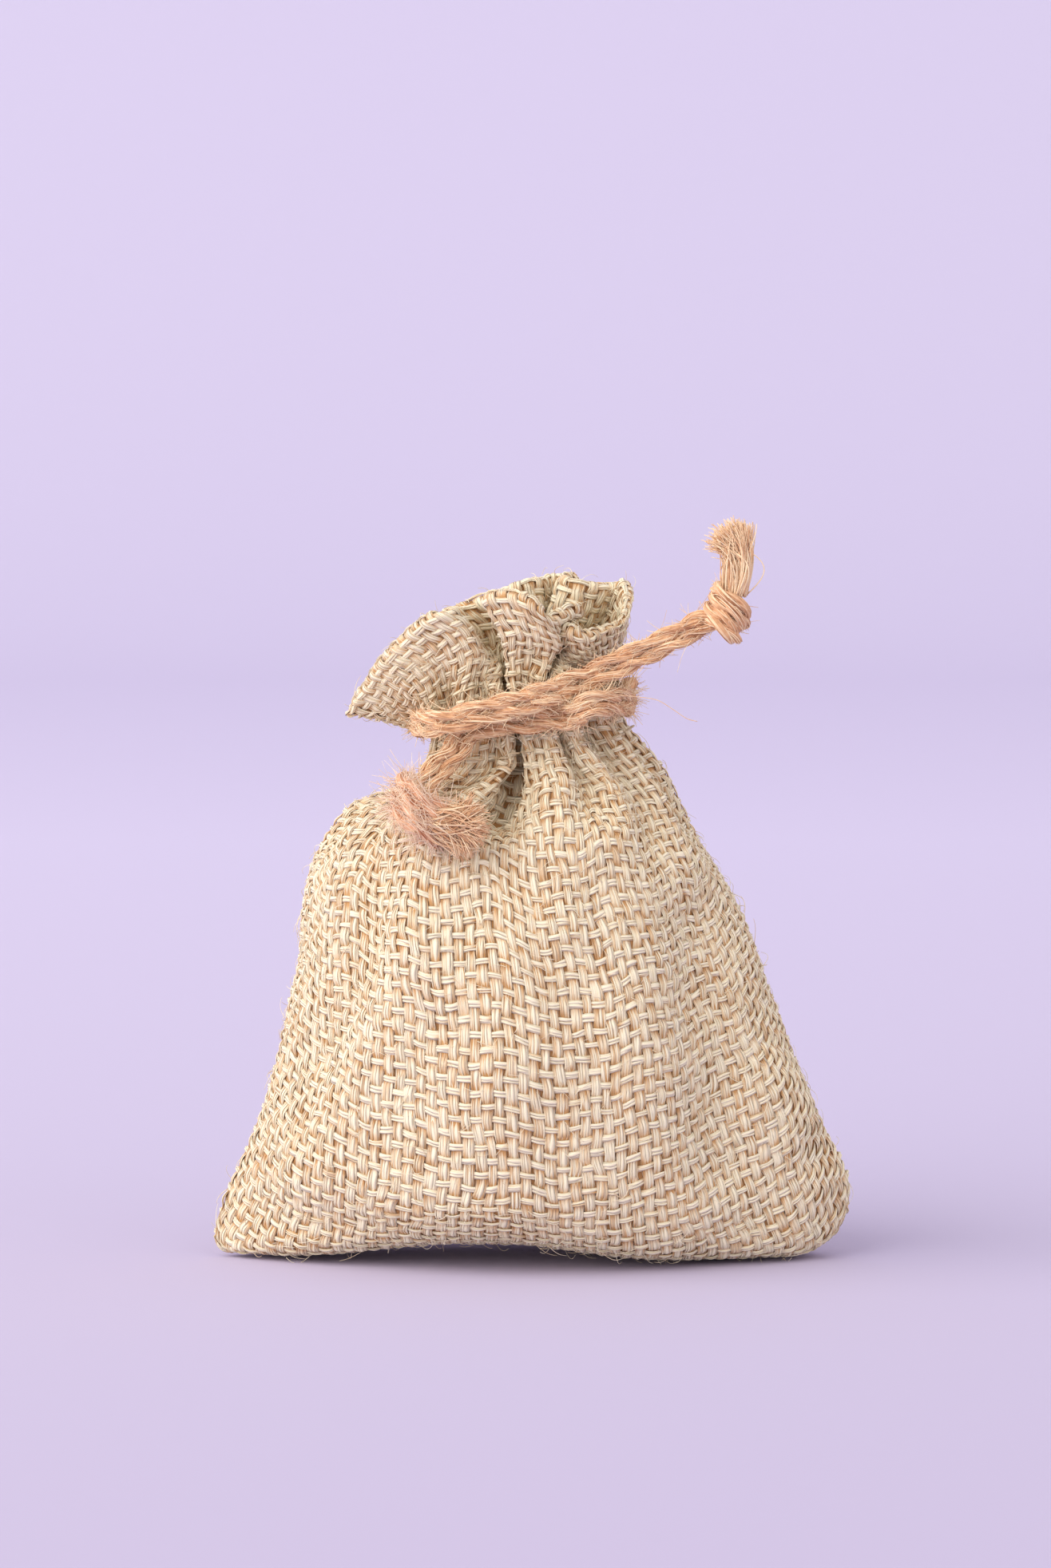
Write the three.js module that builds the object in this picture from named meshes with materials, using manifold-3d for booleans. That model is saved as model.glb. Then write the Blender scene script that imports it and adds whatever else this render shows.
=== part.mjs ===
// Drawstring gift pouch of coarse woven cloth, filled, gathered and tied with two jute strings.
// Millimetres, +Z up, -Y is the front. The origin is on the table under the middle of the pouch.

import * as THREE from 'three';
import { mergeVertices } from 'three/addons/utils/BufferGeometryUtils.js';
import Module from 'manifold-3d';

const wasm = await Module();
wasm.setup();

// ---- Driving dimensions -------------------------------------------------------------------

const CLOTH = 1.2;            // thickness of one layer of the woven cloth
const GAP = 0.3;              // clearance that touching pieces keep
const STRAND = 1.65;          // diameter of one strand of jute string
const PAIR = STRAND + GAP;    // spacing of the two strands that run side by side
const STRAND_SIDES = 8;
const STRAND_STEP = 1.6 * STRAND;  // length of strand between two rings of points
const KNOT_RADIUS = 3.3;
const TASSEL_A_RADII = [1.5, 2.6];  // where the fibres leave the knot and at their tips
const TASSEL_B_RADII = [1.8, 2.8];
const TURNED_SIDES = 16;
const COLUMNS = 72;           // points round each ring of cloth
const REACH = 200;            // size of a block that takes in half of the pouch
const PLEATS = 12;            // gathers round the neck
const PLEAT_DEPTH = 1.5;      // how deep the outside of a gather is
const PLEAT_START_Z = 44;     // the gathers fade out below this height
const NECK_Z = [69, 78];      // the cinched stretch that the strings lie round
const LEFT_EDGE_X = -13.4;    // sides of the cinched neck
const RIGHT_EDGE_X = 11.8;
const NECK_WALL = 3.4;        // packed gathers of the outer cloth at the neck
const THICKENING_Z = 60;      // the packed gathers start here
const CHANNEL = STRAND + 0.7; // room for a string between outer cloth and hem
const LOOP_A_Z = 72.2;        // height of each string inside the channel
const LOOP_B_Z = 75.0;
const EYELET = [8.6, 5.6, 2.6];  // gap in a side seam that a pair of strands comes out of
const SEAM_WIDTH = 4.6;       // seam allowance turned inside the pouch
const SEAM_THICKNESS = 1.4;
const SEAM_INSET = 3.6;       // from the outer edge of the cloth to the seam allowance
const STITCH = 0.5;           // diameter of the sewing thread
const STITCH_LOWER_Z = 68.6;
const STITCH_UPPER_HEIGHT = 0.16;  // as a share of the header, measured from the neck
const STITCH_GAP = 0.45;
const FILL_GAP = 1.0;
const FILL_SIDE = 10.5;       // room between the filling and the outer edge, seam included
const FILL_DEPTH = 0.8;       // share of the pouch's half depth that the filling takes
const FILL_SIDES = COLUMNS / 3;

// Height, left edge, right edge, half depth, and how pointed the sides are (1 is an ellipse).
const STATIONS = [
  [0.0, -35.0, 31.0, 9.0, 1.7],
  [0.8, -39.5, 36.5, 13.0, 1.7],
  [3.2, -42.1, 40.0, 16.5, 1.7],
  [7.5, -41.2, 42.1, 19.0, 1.65],
  [12, -39.4, 41.9, 21.0, 1.6],
  [20, -36.2, 37.8, 23.3, 1.45],
  [30, -33.4, 34.4, 24.6, 1.3],
  [40, -31.3, 31.2, 24.0, 1.15],
  [48, -30.1, 27.9, 21.8, 1.05],
  [55, -28.7, 23.8, 18.6, 1.0],
  [60, -26.0, 21.2, 15.8, 1.0],
  [63.2, -21.6, 19.6, 13.8, 1.0],
  [65.6, -16.4, 17.6, 12.4, 1.0],
  [69, -13.6, 13.2, 11.0, 1.0],
  [73.5, LEFT_EDGE_X, RIGHT_EDGE_X, 10.8, 1.0],
  [78, LEFT_EDGE_X, RIGHT_EDGE_X, 10.8, 1.0],
];

// Rim of the header, from the left seam round the front to the right seam and back.
const RIM = [
  [-24, -3, 74.6], [-20.8, -8, 79.8], [-17.3, -11, 84.3], [-10.5, -12.4, 87.4], [-5.6, -11, 88.9],
  [-1.5, -13.8, 88.6], [3.4, -13, 88.8], [7.5, -9.5, 90.2], [13.4, -2.5, 90.3], [12, 5, 90.7],
  [6, 9.6, 91.1], [-1, 10.6, 90.8], [-9, 10, 88.6], [-16, 8, 84.2], [-21, 3, 79.2],
];
const HEADER_STEPS = 4;

// Filling: heights, and how much each ring is drawn in.
const FILL_RINGS = [[2.6, 0.8], [6, 0.93], [12, 1], [20, 1], [30, 1], [40, 0.96], [46, 0.8], [50, 0.45]];

// Knot: shares of its length and of its radius, two fat turns with a waist between them.
const KNOT_PROFILE = [
  [0, 0.45], [0.12, 0.8], [0.3, 1], [0.48, 0.88], [0.55, 0.88], [0.72, 1], [0.9, 0.75], [1, 0.45],
];

// Strings outside the pouch: middle of the pair of strands, then the end of each string.
const WRAP_A = [
  [-14.75, -4.2, 71.7], [-14.4, -8.8, 71.7], [-12.1, -13.5, 72.0], [-7.4, -14.8, 73.1],
  [-1.0, -14.9, 74.8], [3.6, -13.95, 76.35],
];
const ROOT_A = [[4.1, -13.7, 76.55], [6.0, -12.5, 77.2], [7.7, -12.3, 77.85]];
const TAIL_A = [
  [8.5, -12.3, 78.25], [12.4, -12.5, 80.1], [17.5, -12.9, 82.5], [20.4, -13.2, 84.0], [22.6, -13.5, 85.1],
];
const KNOT_A = [[22.95, -13.55, 85.3], [28.2, -14.1, 88.1]];
const TASSEL_A = [[26.5, -14.0, 90.5], [27.4, -14.4, 98.4]];

const WRAP_B = [
  [12.95, -4.0, 74.2], [12.5, -8.6, 74.5], [10.6, -12.8, 74.7], [7.9, -15.0, 74.5], [6.3, -14.4, 73.5],
  [5.2, -13.2, 72.95], [4.2, -12.65, 72.75],
];
const ROOT_B = [
  [3.75, -12.55, 72.7], [-0.8, -12.3, 72.25], [-5.6, -12.1, 71.8], [-8.2, -12.3, 70.5], [-9.6, -13.1, 68.7],
];
const TAIL_B = [[-9.95, -13.55, 68.05], [-11.9, -14.9, 66.3], [-13.4, -17.0, 64.3], [-13.7, -18.4, 63.0]];
const KNOT_B = [[-13.75, -18.9, 62.2], [-14.4, -19.9, 55.4]];
const TASSEL_B = [[-10.6, -21.0, 58.2], [-5.8, -22.9, 57.4]];

// ---- Materials ----------------------------------------------------------------------------

const burlap = () => new THREE.MeshStandardMaterial({ color: 0xcdb48c, roughness: 0.92, metalness: 0 });
const burlapInside = () => new THREE.MeshStandardMaterial({ color: 0xb59a72, roughness: 0.95, metalness: 0 });
const sewingThread = () => new THREE.MeshStandardMaterial({ color: 0xdcc9a4, roughness: 0.8, metalness: 0 });
const jute = () => new THREE.MeshStandardMaterial({ color: 0xcd9467, roughness: 0.9, metalness: 0 });
const wadding = () => new THREE.MeshStandardMaterial({ color: 0xe9e2d2, roughness: 1, metalness: 0 });

// ---- Small helpers ------------------------------------------------------------------------

const mix = (a, b, t) => a + (b - a) * t;
const clamp01 = (t) => Math.min(1, Math.max(0, t));
const vector = (point) => new THREE.Vector3(...point);

function named(name, geometry, material) {
  const mesh = new THREE.Mesh(geometry, material);
  mesh.name = name;
  return mesh;
}

function geometryOf(points, triangles) {
  const geometry = new THREE.BufferGeometry();
  geometry.setAttribute('position', new THREE.Float32BufferAttribute(points.flatMap((p) => p.toArray()), 3));
  geometry.setIndex(triangles);
  geometry.computeVertexNormals();
  return geometry;
}

// ---- The surface of the cloth -------------------------------------------------------------

/** Station values at a height, by a straight line between the two nearest stations. */
function sectionAt(z) {
  const above = Math.max(1, STATIONS.findIndex((station) => station[0] >= z));
  const [low, high] = [STATIONS[above - 1], STATIONS[above]];
  const t = (z - low[0]) / (high[0] - low[0]);
  return low.map((value, k) => mix(value, high[k], t));
}

/** Depth of the gathers at a height: none on the belly, full at the neck. */
const pleatDepth = (z) => PLEAT_DEPTH * clamp01((z - PLEAT_START_Z) / (NECK_Z[0] - PLEAT_START_Z)) ** 1.5;

/** Point of a level ring; turn 0 is the left seam, 0.25 the front, 0.5 the right seam. */
function ringPoint(z, turn, inset) {
  const [, left, right, depth, pointed] = sectionAt(z);
  const angle = 2 * Math.PI * turn;
  const half = (right - left) / 2 - inset;
  const side = Math.abs(Math.sin(angle)) ** pointed * Math.sign(Math.sin(angle));
  return new THREE.Vector3((left + right) / 2 - half * Math.cos(angle), -(depth - inset) * side, z);
}

/** One ring of the pouch below the header; gathers push the outside in by their depth. */
function levelRing(z, inset, gathered) {
  return Array.from({ length: COLUMNS }, (_, k) => {
    const fold = 0.5 - 0.5 * Math.cos((2 * Math.PI * PLEATS * k) / COLUMNS);
    return ringPoint(z, k / COLUMNS, inset + (gathered ? pleatDepth(z) * fold : 0));
  });
}

const rimCurve = new THREE.CatmullRomCurve3(RIM.map(vector), true, 'centripetal');

/** A ring of the header: height 0 is the top of the neck and 1 is the rim. */
function headerRing(height, gathered) {
  const fade = gathered ? 1 - 0.6 * height : 0;
  return Array.from({ length: COLUMNS }, (_, k) => {
    const fold = 0.5 - 0.5 * Math.cos((2 * Math.PI * PLEATS * k) / COLUMNS);
    const foot = ringPoint(NECK_Z[1], k / COLUMNS, PLEAT_DEPTH * fold * fade);
    return foot.lerp(rimCurve.getPoint(k / COLUMNS), height ** 1.15);
  });
}

/** Moves every ring of a stack inwards, square to the cloth, by one distance for each ring. */
function insetRings(rings, distances) {
  const last = rings.length - 1;
  return rings.map((ring, row) => ring.map((point, k) => {
    const around = ring[(k + 1) % COLUMNS].clone().sub(ring[(k + COLUMNS - 1) % COLUMNS]);
    const up = rings[Math.min(last, row + 1)][k].clone().sub(rings[Math.max(0, row - 1)][k]);
    const outward = around.cross(up).normalize();
    return point.clone().addScaledVector(outward, -distances[row]);
  }));
}

/** Triangles between consecutive rings; stacking upwards makes them face outwards. */
function wallTriangles(rows, closed) {
  const triangles = [];
  const bands = closed ? rows : rows - 1;
  for (let row = 0; row < bands; row += 1) {
    const upper = (row + 1) % rows;
    for (let k = 0; k < COLUMNS; k += 1) {
      const next = (k + 1) % COLUMNS;
      const [a, b] = [row * COLUMNS + k, row * COLUMNS + next];
      const [c, d] = [upper * COLUMNS + next, upper * COLUMNS + k];
      triangles.push(a, b, c, a, c, d);
    }
  }
  return triangles;
}

/** A bag: rings from the outside base up to the rim and down the inside, closed by two discs. */
function bagGeometry(rings) {
  const points = rings.flat();
  const triangles = wallTriangles(rings.length, false);
  const centreOf = (ring) => ring.reduce((sum, p) => sum.add(p), new THREE.Vector3()).divideScalar(COLUMNS);
  const firstCentre = points.push(centreOf(rings[0])) - 1;
  const lastCentre = points.push(centreOf(rings.at(-1))) - 1;
  const lastStart = (rings.length - 1) * COLUMNS;
  for (let k = 0; k < COLUMNS; k += 1) {
    const next = (k + 1) % COLUMNS;
    triangles.push(firstCentre, next, k);
    triangles.push(lastCentre, lastStart + k, lastStart + next);
  }
  return geometryOf(points, triangles);
}

const bandGeometry = (rings) => geometryOf(rings.flat(), wallTriangles(rings.length, true));

// ---- Cloth pieces -------------------------------------------------------------------------

const bodyHeights = STATIONS.map((station) => station[0]);
const innerHeights = [2, 3.2, 7.5, 12, 20, 30, 40, 48, 55, 60, 63.2, 65.6];
const headerHeights = Array.from({ length: HEADER_STEPS }, (_, k) => (k + 1) / HEADER_STEPS);

/** The inside wall at and below the neck is thicker where the gathers are packed. */
function innerWall(z) {
  return mix(CLOTH, NECK_WALL, clamp01((z - THICKENING_Z) / (NECK_Z[0] - THICKENING_Z)));
}

/** Rings of the header and the neck under it, smooth, for the inside of the cloth and the hem. */
function smoothCollar() {
  const neck = [NECK_Z[0], 73.5, NECK_Z[1]].map((z) => levelRing(z, 0, false));
  return [...neck, ...headerHeights.map((height) => headerRing(height, false))];
}

/** A distance for each ring of the collar, from its value at the neck to its value at the rim. */
function collarInsets(atNeck, atRim) {
  const header = headerHeights.map((height) => mix(atNeck, atRim, Math.min(1, height * 2)));
  return [atNeck, atNeck, atNeck, ...header];
}

function solidOf(geometry) {
  const source = geometry.clone();
  source.deleteAttribute('normal');
  source.deleteAttribute('uv');
  const merged = mergeVertices(source);
  return new wasm.Manifold(new wasm.Mesh({
    numProp: 3,
    vertProperties: new Float32Array(merged.attributes.position.array),
    triVerts: new Uint32Array(merged.index.array),
  }));
}

function geometryFrom(solid) {
  const mesh = solid.getMesh();
  const result = new THREE.BufferGeometry();
  result.setAttribute('position', new THREE.BufferAttribute(new Float32Array(mesh.vertProperties), 3));
  result.setIndex(new THREE.BufferAttribute(new Uint32Array(mesh.triVerts), 1));
  result.computeVertexNormals();
  return result;
}

function blockSolid(size, centre) {
  const block = new THREE.BoxGeometry(...size);
  block.translate(...centre);
  return solidOf(block);
}

/** Cuts the gaps in the side seams that the strings come out of. */
function cutEyelets(solid) {
  const eyelets = [[LEFT_EDGE_X, LOOP_A_Z], [RIGHT_EDGE_X, LOOP_B_Z]];
  return eyelets.reduce((cut, [x, z]) => cut.subtract(blockSolid(EYELET, [x, 0, z])), solid);
}

/** Outer cloth: folded at the bottom, sewn up both sides and gathered at the neck. */
function outerCloth() {
  const outside = [
    ...bodyHeights.map((z) => levelRing(z, 0, true)),
    ...headerHeights.map((height) => headerRing(height, true)),
  ];
  const lowerInside = innerHeights.map((z) => levelRing(z, innerWall(z), false));
  const collarInside = insetRings(smoothCollar(), collarInsets(NECK_WALL, CLOTH));
  const inside = [...lowerInside, ...collarInside].reverse();
  return cutEyelets(solidOf(bagGeometry([...outside, ...inside])));
}

/** The front (side -1) or back (side 1) of the folded cloth, as far as the side seams. */
function clothPanel(cloth, side) {
  const halfSpace = blockSolid([REACH, REACH, REACH], [0, (side * (REACH + GAP)) / 2, 0]);
  return geometryFrom(cloth.intersect(halfSpace));
}

/** The hem turned in at the rim: with the outer cloth it makes the channel for the strings. */
function hemFacing() {
  const outerInsets = collarInsets(NECK_WALL + CHANNEL, CLOTH + GAP);
  const innerInsets = outerInsets.map((inset) => inset + CLOTH);
  const collar = smoothCollar();
  return bandGeometry([...insetRings(collar, outerInsets), ...insetRings(collar, innerInsets).reverse()]);
}

/** Seam allowance inside a side of the pouch, a flat strip that follows the side's outline. */
function sideSeam(side) {
  const heights = [6, 12, 20, 30, 40, 48, 55];
  const edge = heights.map((z) => {
    const [, left, right] = sectionAt(z);
    const x = side < 0 ? left + SEAM_INSET : right - SEAM_INSET;
    return new THREE.Vector2(x, z);
  });
  const inner = edge.map((p) => new THREE.Vector2(p.x - side * SEAM_WIDTH, p.y)).reverse();
  const strip = new THREE.ExtrudeGeometry(new THREE.Shape([...edge, ...inner]), {
    depth: SEAM_THICKNESS,
    bevelEnabled: false,
  });
  strip.rotateX(Math.PI / 2);
  strip.translate(0, SEAM_THICKNESS / 2, 0);
  return strip;
}

/** Round section for cords and threads. */
function roundSection(diameter, sides) {
  const corners = Array.from({ length: sides }, (_, k) => {
    const angle = (2 * Math.PI * k) / sides;
    return new THREE.Vector2(Math.cos(angle), Math.sin(angle)).multiplyScalar(diameter / 2);
  });
  return new THREE.Shape(corners);
}

/** A line of sewing thread round the gathered cloth, just outside it, on the middle of three rings. */
function casingStitch(rings) {
  const spacing = [[STITCH / 2, 0], [STITCH, STITCH / 2], [STITCH / 2, STITCH], [0, STITCH / 2]];
  const section = spacing.map(([out, rise]) => {
    const distance = -(STITCH_GAP + out);
    const line = insetRings(rings, [distance, distance, distance])[1];
    return line.map((point) => point.add(new THREE.Vector3(0, 0, rise)));
  });
  return bandGeometry(section);
}

const lowerStitchRings = [-1, 0, 1].map((step) => levelRing(STITCH_LOWER_Z + step, 0, true));
const upperStitchRings = [-1, 0, 1].map((step) => headerRing(STITCH_UPPER_HEIGHT + step * 0.08, true));

/** Rings of the soft filling that holds the belly of the pouch out; it stops clear of the throat. */
function fillingRings() {
  return FILL_RINGS.map(([z, drawnIn]) => Array.from({ length: FILL_SIDES }, (_, k) => {
    const [, left, right, depth] = sectionAt(z);
    const angle = (2 * Math.PI * k) / FILL_SIDES;
    const half = ((right - left) / 2 - FILL_SIDE) * drawnIn;
    const deep = (depth * FILL_DEPTH - CLOTH - FILL_GAP) * drawnIn;
    return new THREE.Vector3((left + right) / 2 - half * Math.cos(angle), -deep * Math.sin(angle), z);
  }));
}

/** Closed solid from a stack of rings that all have the same number of points. */
function stackGeometry(rings) {
  const count = rings[0].length;
  const points = rings.flat();
  const triangles = [];
  const top = (rings.length - 1) * count;
  for (let row = 0; row < rings.length - 1; row += 1) {
    for (let k = 0; k < count; k += 1) {
      const next = (k + 1) % count;
      const [a, b] = [row * count + k, row * count + next];
      triangles.push(a, b, b + count, a, b + count, a + count);
    }
  }
  for (let k = 1; k < count - 1; k += 1) {
    triangles.push(0, k + 1, k);
    triangles.push(top, top + k, top + k + 1);
  }
  return geometryOf(points, triangles);
}

// ---- Strings ------------------------------------------------------------------------------

/** One strand of string along a list of points. */
function strand(points) {
  const curve = new THREE.CatmullRomCurve3(points.map(vector), false, 'centripetal');
  const steps = Math.max(2, Math.round(curve.getLength() / STRAND_STEP));
  const section = roundSection(STRAND, STRAND_SIDES);
  return new THREE.ExtrudeGeometry(section, { steps, extrudePath: curve, bevelEnabled: false });
}

/** The route of one strand of a pair: the pair's middle, moved square to it in the front view. */
function besideMiddle(middle, side) {
  return middle.map((point, k) => {
    const before = vector(middle[Math.max(0, k - 1)]);
    const along = vector(middle[Math.min(middle.length - 1, k + 1)]).sub(before);
    const across = along.clone().cross(new THREE.Vector3(0, 1, 0));
    const steep = Math.abs(along.y) > 0.8 * along.length();
    const shift = (steep ? new THREE.Vector3(0, 0, 1) : across.setY(0).normalize()).multiplyScalar(PAIR / 2);
    const upward = shift.z < 0 ? -side : side;
    return vector(point).addScaledVector(shift, upward).toArray();
  });
}

/** String inside the channel: in at one side seam, once round the neck and out again. */
function casingLoop(z, side) {
  const inset = NECK_WALL + CHANNEL / 2;
  const start = side < 0 ? 0 : 0.5;
  const lap = [0.09, 0.13, 0.17, 0.21, 0.25, 0.29, 0.33, 0.37, 0.42, 0.5];
  const turns = [...lap, ...lap.slice(0, -1).map((turn) => 1 - turn).reverse()];
  const round = turns.map((turn) => ringPoint(NECK_Z[1], start + turn, inset).setZ(z).toArray());
  const edgeX = side < 0 ? LEFT_EDGE_X : RIGHT_EDGE_X;
  const first = round[0][1] < 0 ? -1 : 1;
  const mouth = [edgeX - side * 0.8, first * PAIR / 2, z];
  const throat = [edgeX - side * 3.8, first * PAIR / 2, z];
  const mirrored = (point) => [point[0], -point[1], point[2]];
  return strand([mouth, throat, ...round, mirrored(throat), mirrored(mouth)]);
}

/** One strand of a pair that comes out of an eyelet and lies across the front of the neck. */
function wrapStrand(middle, edgeX, z, side, level) {
  const upper = [[edgeX + side * 1.3, 0.4, z + 1.2], [edgeX + side * 1.4, -2.0, z + 1.5]];
  const lower = [[edgeX + side * 1.2, -2.2, z - 0.4]];
  const corner = level > 0 ? upper : lower;
  return strand([[edgeX + side * 0.1, level * (PAIR / 2), z], ...corner, ...besideMiddle(middle, level)]);
}

/** A turned solid between two points, from radii at fractions of its length. */
function turnedBetween([from, to], profile) {
  const [start, end] = [vector(from), vector(to)];
  const axis = end.clone().sub(start);
  const length = axis.length();
  const outline = [
    new THREE.Vector2(0, 0),
    ...profile.map(([t, radius]) => new THREE.Vector2(radius, t * length)),
    new THREE.Vector2(0, length),
  ];
  const solid = new THREE.LatheGeometry(outline, TURNED_SIDES);
  const turn = new THREE.Quaternion().setFromUnitVectors(new THREE.Vector3(0, 1, 0), axis.normalize());
  solid.applyQuaternion(turn);
  solid.translate(start.x, start.y, start.z);
  return solid;
}

/** Overhand knot as a turned solid. */
const knot = (ends) => turnedBetween(ends, KNOT_PROFILE.map(([t, share]) => [t, share * KNOT_RADIUS]));

/** Loose fibres of the cut ends, spreading a little. */
const tassel = (ends, [rootRadius, tipRadius]) => turnedBetween(ends, [[0, rootRadius], [1, tipRadius]]);

/** Everything of one string: what the pouch holds, the root that slides and the end that swings. */
function stringPieces(letter, route) {
  const { middle, root, tail, side, edgeX, loopZ } = route;
  const pieces = [named(`drawstring_${letter}_casing_loop`, casingLoop(loopZ, side), jute())];
  for (const [label, level] of [['lower', -1], ['upper', 1]]) {
    const wrap = wrapStrand(middle, edgeX, loopZ, side, level);
    pieces.push(named(`drawstring_${letter}_wrap_${label}`, wrap, jute()));
    pieces.push(named(`drawstring_${letter}_root_${label}`, strand(besideMiddle(root, level)), jute()));
    pieces.push(named(`drawstring_${letter}_tail_${label}`, strand(besideMiddle(tail, level)), jute()));
  }
  return pieces;
}

// ---- Assembly -----------------------------------------------------------------------------

const pouch = new THREE.Group();
const cloth = outerCloth();
pouch.add(named('front_panel', clothPanel(cloth, -1), burlap()));
pouch.add(named('back_panel', clothPanel(cloth, 1), burlap()));
pouch.add(named('hem_facing', hemFacing(), burlapInside()));
pouch.add(named('left_side_seam', sideSeam(-1), burlapInside()));
pouch.add(named('right_side_seam', sideSeam(1), burlapInside()));
pouch.add(named('casing_stitch_lower', casingStitch(lowerStitchRings), sewingThread()));
pouch.add(named('casing_stitch_upper', casingStitch(upperStitchRings), sewingThread()));
pouch.add(named('filling_wad', stackGeometry(fillingRings()), wadding()));

const drawstringA = new THREE.Group();
const routeA = { middle: WRAP_A, root: ROOT_A, tail: TAIL_A, side: -1, edgeX: LEFT_EDGE_X, loopZ: LOOP_A_Z };
drawstringA.add(...stringPieces('a', routeA));
drawstringA.add(named('drawstring_a_knot', knot(KNOT_A), jute()));
drawstringA.add(named('drawstring_a_tassel', tassel(TASSEL_A, TASSEL_A_RADII), jute()));

const drawstringB = new THREE.Group();
const routeB = { middle: WRAP_B, root: ROOT_B, tail: TAIL_B, side: 1, edgeX: RIGHT_EDGE_X, loopZ: LOOP_B_Z };
drawstringB.add(...stringPieces('b', routeB));
drawstringB.add(named('drawstring_b_knot', knot(KNOT_B), jute()));
drawstringB.add(named('drawstring_b_tassel', tassel(TASSEL_B, TASSEL_B_RADII), jute()));

const giftPouch = new THREE.Group();
giftPouch.add(pouch, drawstringA, drawstringB);

export default giftPouch;
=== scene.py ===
"""Looks of the drawstring gift pouch: woven burlap thread by thread, two-ply jute strings and a pale set."""

import math

import bpy
import numpy as np
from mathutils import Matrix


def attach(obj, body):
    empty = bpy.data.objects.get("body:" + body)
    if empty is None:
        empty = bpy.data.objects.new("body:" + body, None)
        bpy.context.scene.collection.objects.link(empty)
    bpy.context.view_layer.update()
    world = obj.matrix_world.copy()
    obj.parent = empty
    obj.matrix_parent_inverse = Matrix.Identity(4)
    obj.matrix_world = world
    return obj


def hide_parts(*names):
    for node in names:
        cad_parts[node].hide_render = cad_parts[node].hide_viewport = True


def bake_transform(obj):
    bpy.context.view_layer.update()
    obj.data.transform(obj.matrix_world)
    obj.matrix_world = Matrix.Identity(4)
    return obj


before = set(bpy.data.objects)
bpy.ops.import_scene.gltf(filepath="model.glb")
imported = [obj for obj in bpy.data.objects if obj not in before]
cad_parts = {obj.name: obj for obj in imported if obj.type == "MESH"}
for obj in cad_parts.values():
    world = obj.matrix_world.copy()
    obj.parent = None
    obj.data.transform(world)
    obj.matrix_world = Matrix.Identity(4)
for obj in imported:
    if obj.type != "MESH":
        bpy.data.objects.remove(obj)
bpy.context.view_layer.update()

# ---- Driving dimensions, millimetres ---------------------------------------------------------

MM = 0.001
rng = np.random.default_rng(41)

FACE_YARNS = 60           # warp yarns across one face of the flat pouch
YARN_PITCH = 1.5          # spacing of the warp yarns
FINE = 4                  # grid steps for each yarn
BODY_PICKS = 52           # weft yarns from the bottom fold up to the strings
HEADER_PICKS = 10         # weft yarns from the strings up to the rim
HEM_TURN_STEPS = 6        # quarter yarns round the fold at the rim
HEM_PICKS = 9             # weft yarns of the hem turned in below the rim
HEM_GAP = 1.7             # from the outer cloth to the hem behind it
YARN_RISE = 0.13          # how far a yarn swings out and in at each crossing
YARN_PUSH = 0.34          # how far yarns lie from their even spacing
STRING_Z = 74.0           # height of the strings round the neck
NECK_TOP_Z = 78.0
FLARE_Z = 86.0            # height from which the folds are those of the rim
STATION_STEPS = 8         # rings for each outline station

# Outline of the cloth: left tip x, z, right tip x, z, middle z, half depth, pointedness.
STATIONS = np.array([
    [-41.8, 2.6, 42.1, 7.4, 0.75, 0.0, 1.75],
    [-41.9, 3.6, 42.3, 8.4, 0.75, 5.5, 1.75],
    [-41.6, 5.0, 42.4, 9.6, 1.0, 11.5, 1.7],
    [-40.8, 7.2, 42.2, 11.2, 2.6, 16.2, 1.65],
    [-39.8, 9.6, 41.4, 12.8, 5.8, 19.2, 1.6],
    [-38.4, 13.0, 40.3, 15.2, 11.0, 21.6, 1.5],
    [-36.4, 17.6, 38.4, 19.0, 17.0, 23.2, 1.4],
    [-34.1, 24.5, 35.6, 25.0, 24.0, 24.0, 1.3],
    [-32.4, 31.0, 33.5, 31.0, 31.0, 24.2, 1.2],
    [-31.1, 38.0, 31.0, 38.0, 38.0, 23.6, 1.1],
    [-30.1, 45.0, 28.2, 45.0, 45.0, 22.4, 0.98],
    [-28.8, 51.5, 24.8, 51.5, 51.5, 20.6, 0.88],
    [-26.1, 57.0, 21.8, 57.0, 57.0, 18.4, 0.8],
    [-22.8, 60.6, 19.8, 61.0, 61.0, 16.0, 0.76],
    [-17.8, 62.6, 18.0, 64.4, 64.2, 13.6, 0.8],
    [-14.4, 64.9, 15.4, 67.6, 67.0, 11.9, 0.9],
    [-13.2, 68.4, 12.6, 70.8, 70.2, 11.0, 1.0],
    [-13.0, 69.4, 11.4, 74.0, 73.4, 10.6, 1.0],
    [-13.8, 69.8, 11.4, 78.0, 76.8, 10.6, 1.0],
])
CORNERS = (2.2, 7.5)      # how far in from the left and the right tip the bottom curves up

# Rim of the header, ridge by ridge: the front from the left seam to the right, then the back.
RIM_FRONT = np.array([
    [-23.6, -2.0, 72.0], [-20.4, -7.0, 77.4], [-17.2, -10.0, 81.6], [-13.2, -12.0, 84.8],
    [-8.0, -12.8, 86.6], [-3.4, -14.4, 88.0], [0.6, -15.4, 86.4], [4.2, -14.0, 83.6],
    [8.4, -10.0, 82.8], [12.4, -5.0, 84.6],
])
RIM_BACK = np.array([
    [12.4, -5.0, 84.6], [14.0, -0.4, 88.6], [11.4, 4.4, 89.3], [6.4, 7.8, 89.4],
    [-1.6, 9.8, 88.6], [-6.8, 9.8, 83.8], [-11.8, 9.0, 80.4], [-17.2, 6.6, 76.6],
    [-21.6, 3.0, 73.4], [-23.6, -2.0, 72.0],
])

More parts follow.
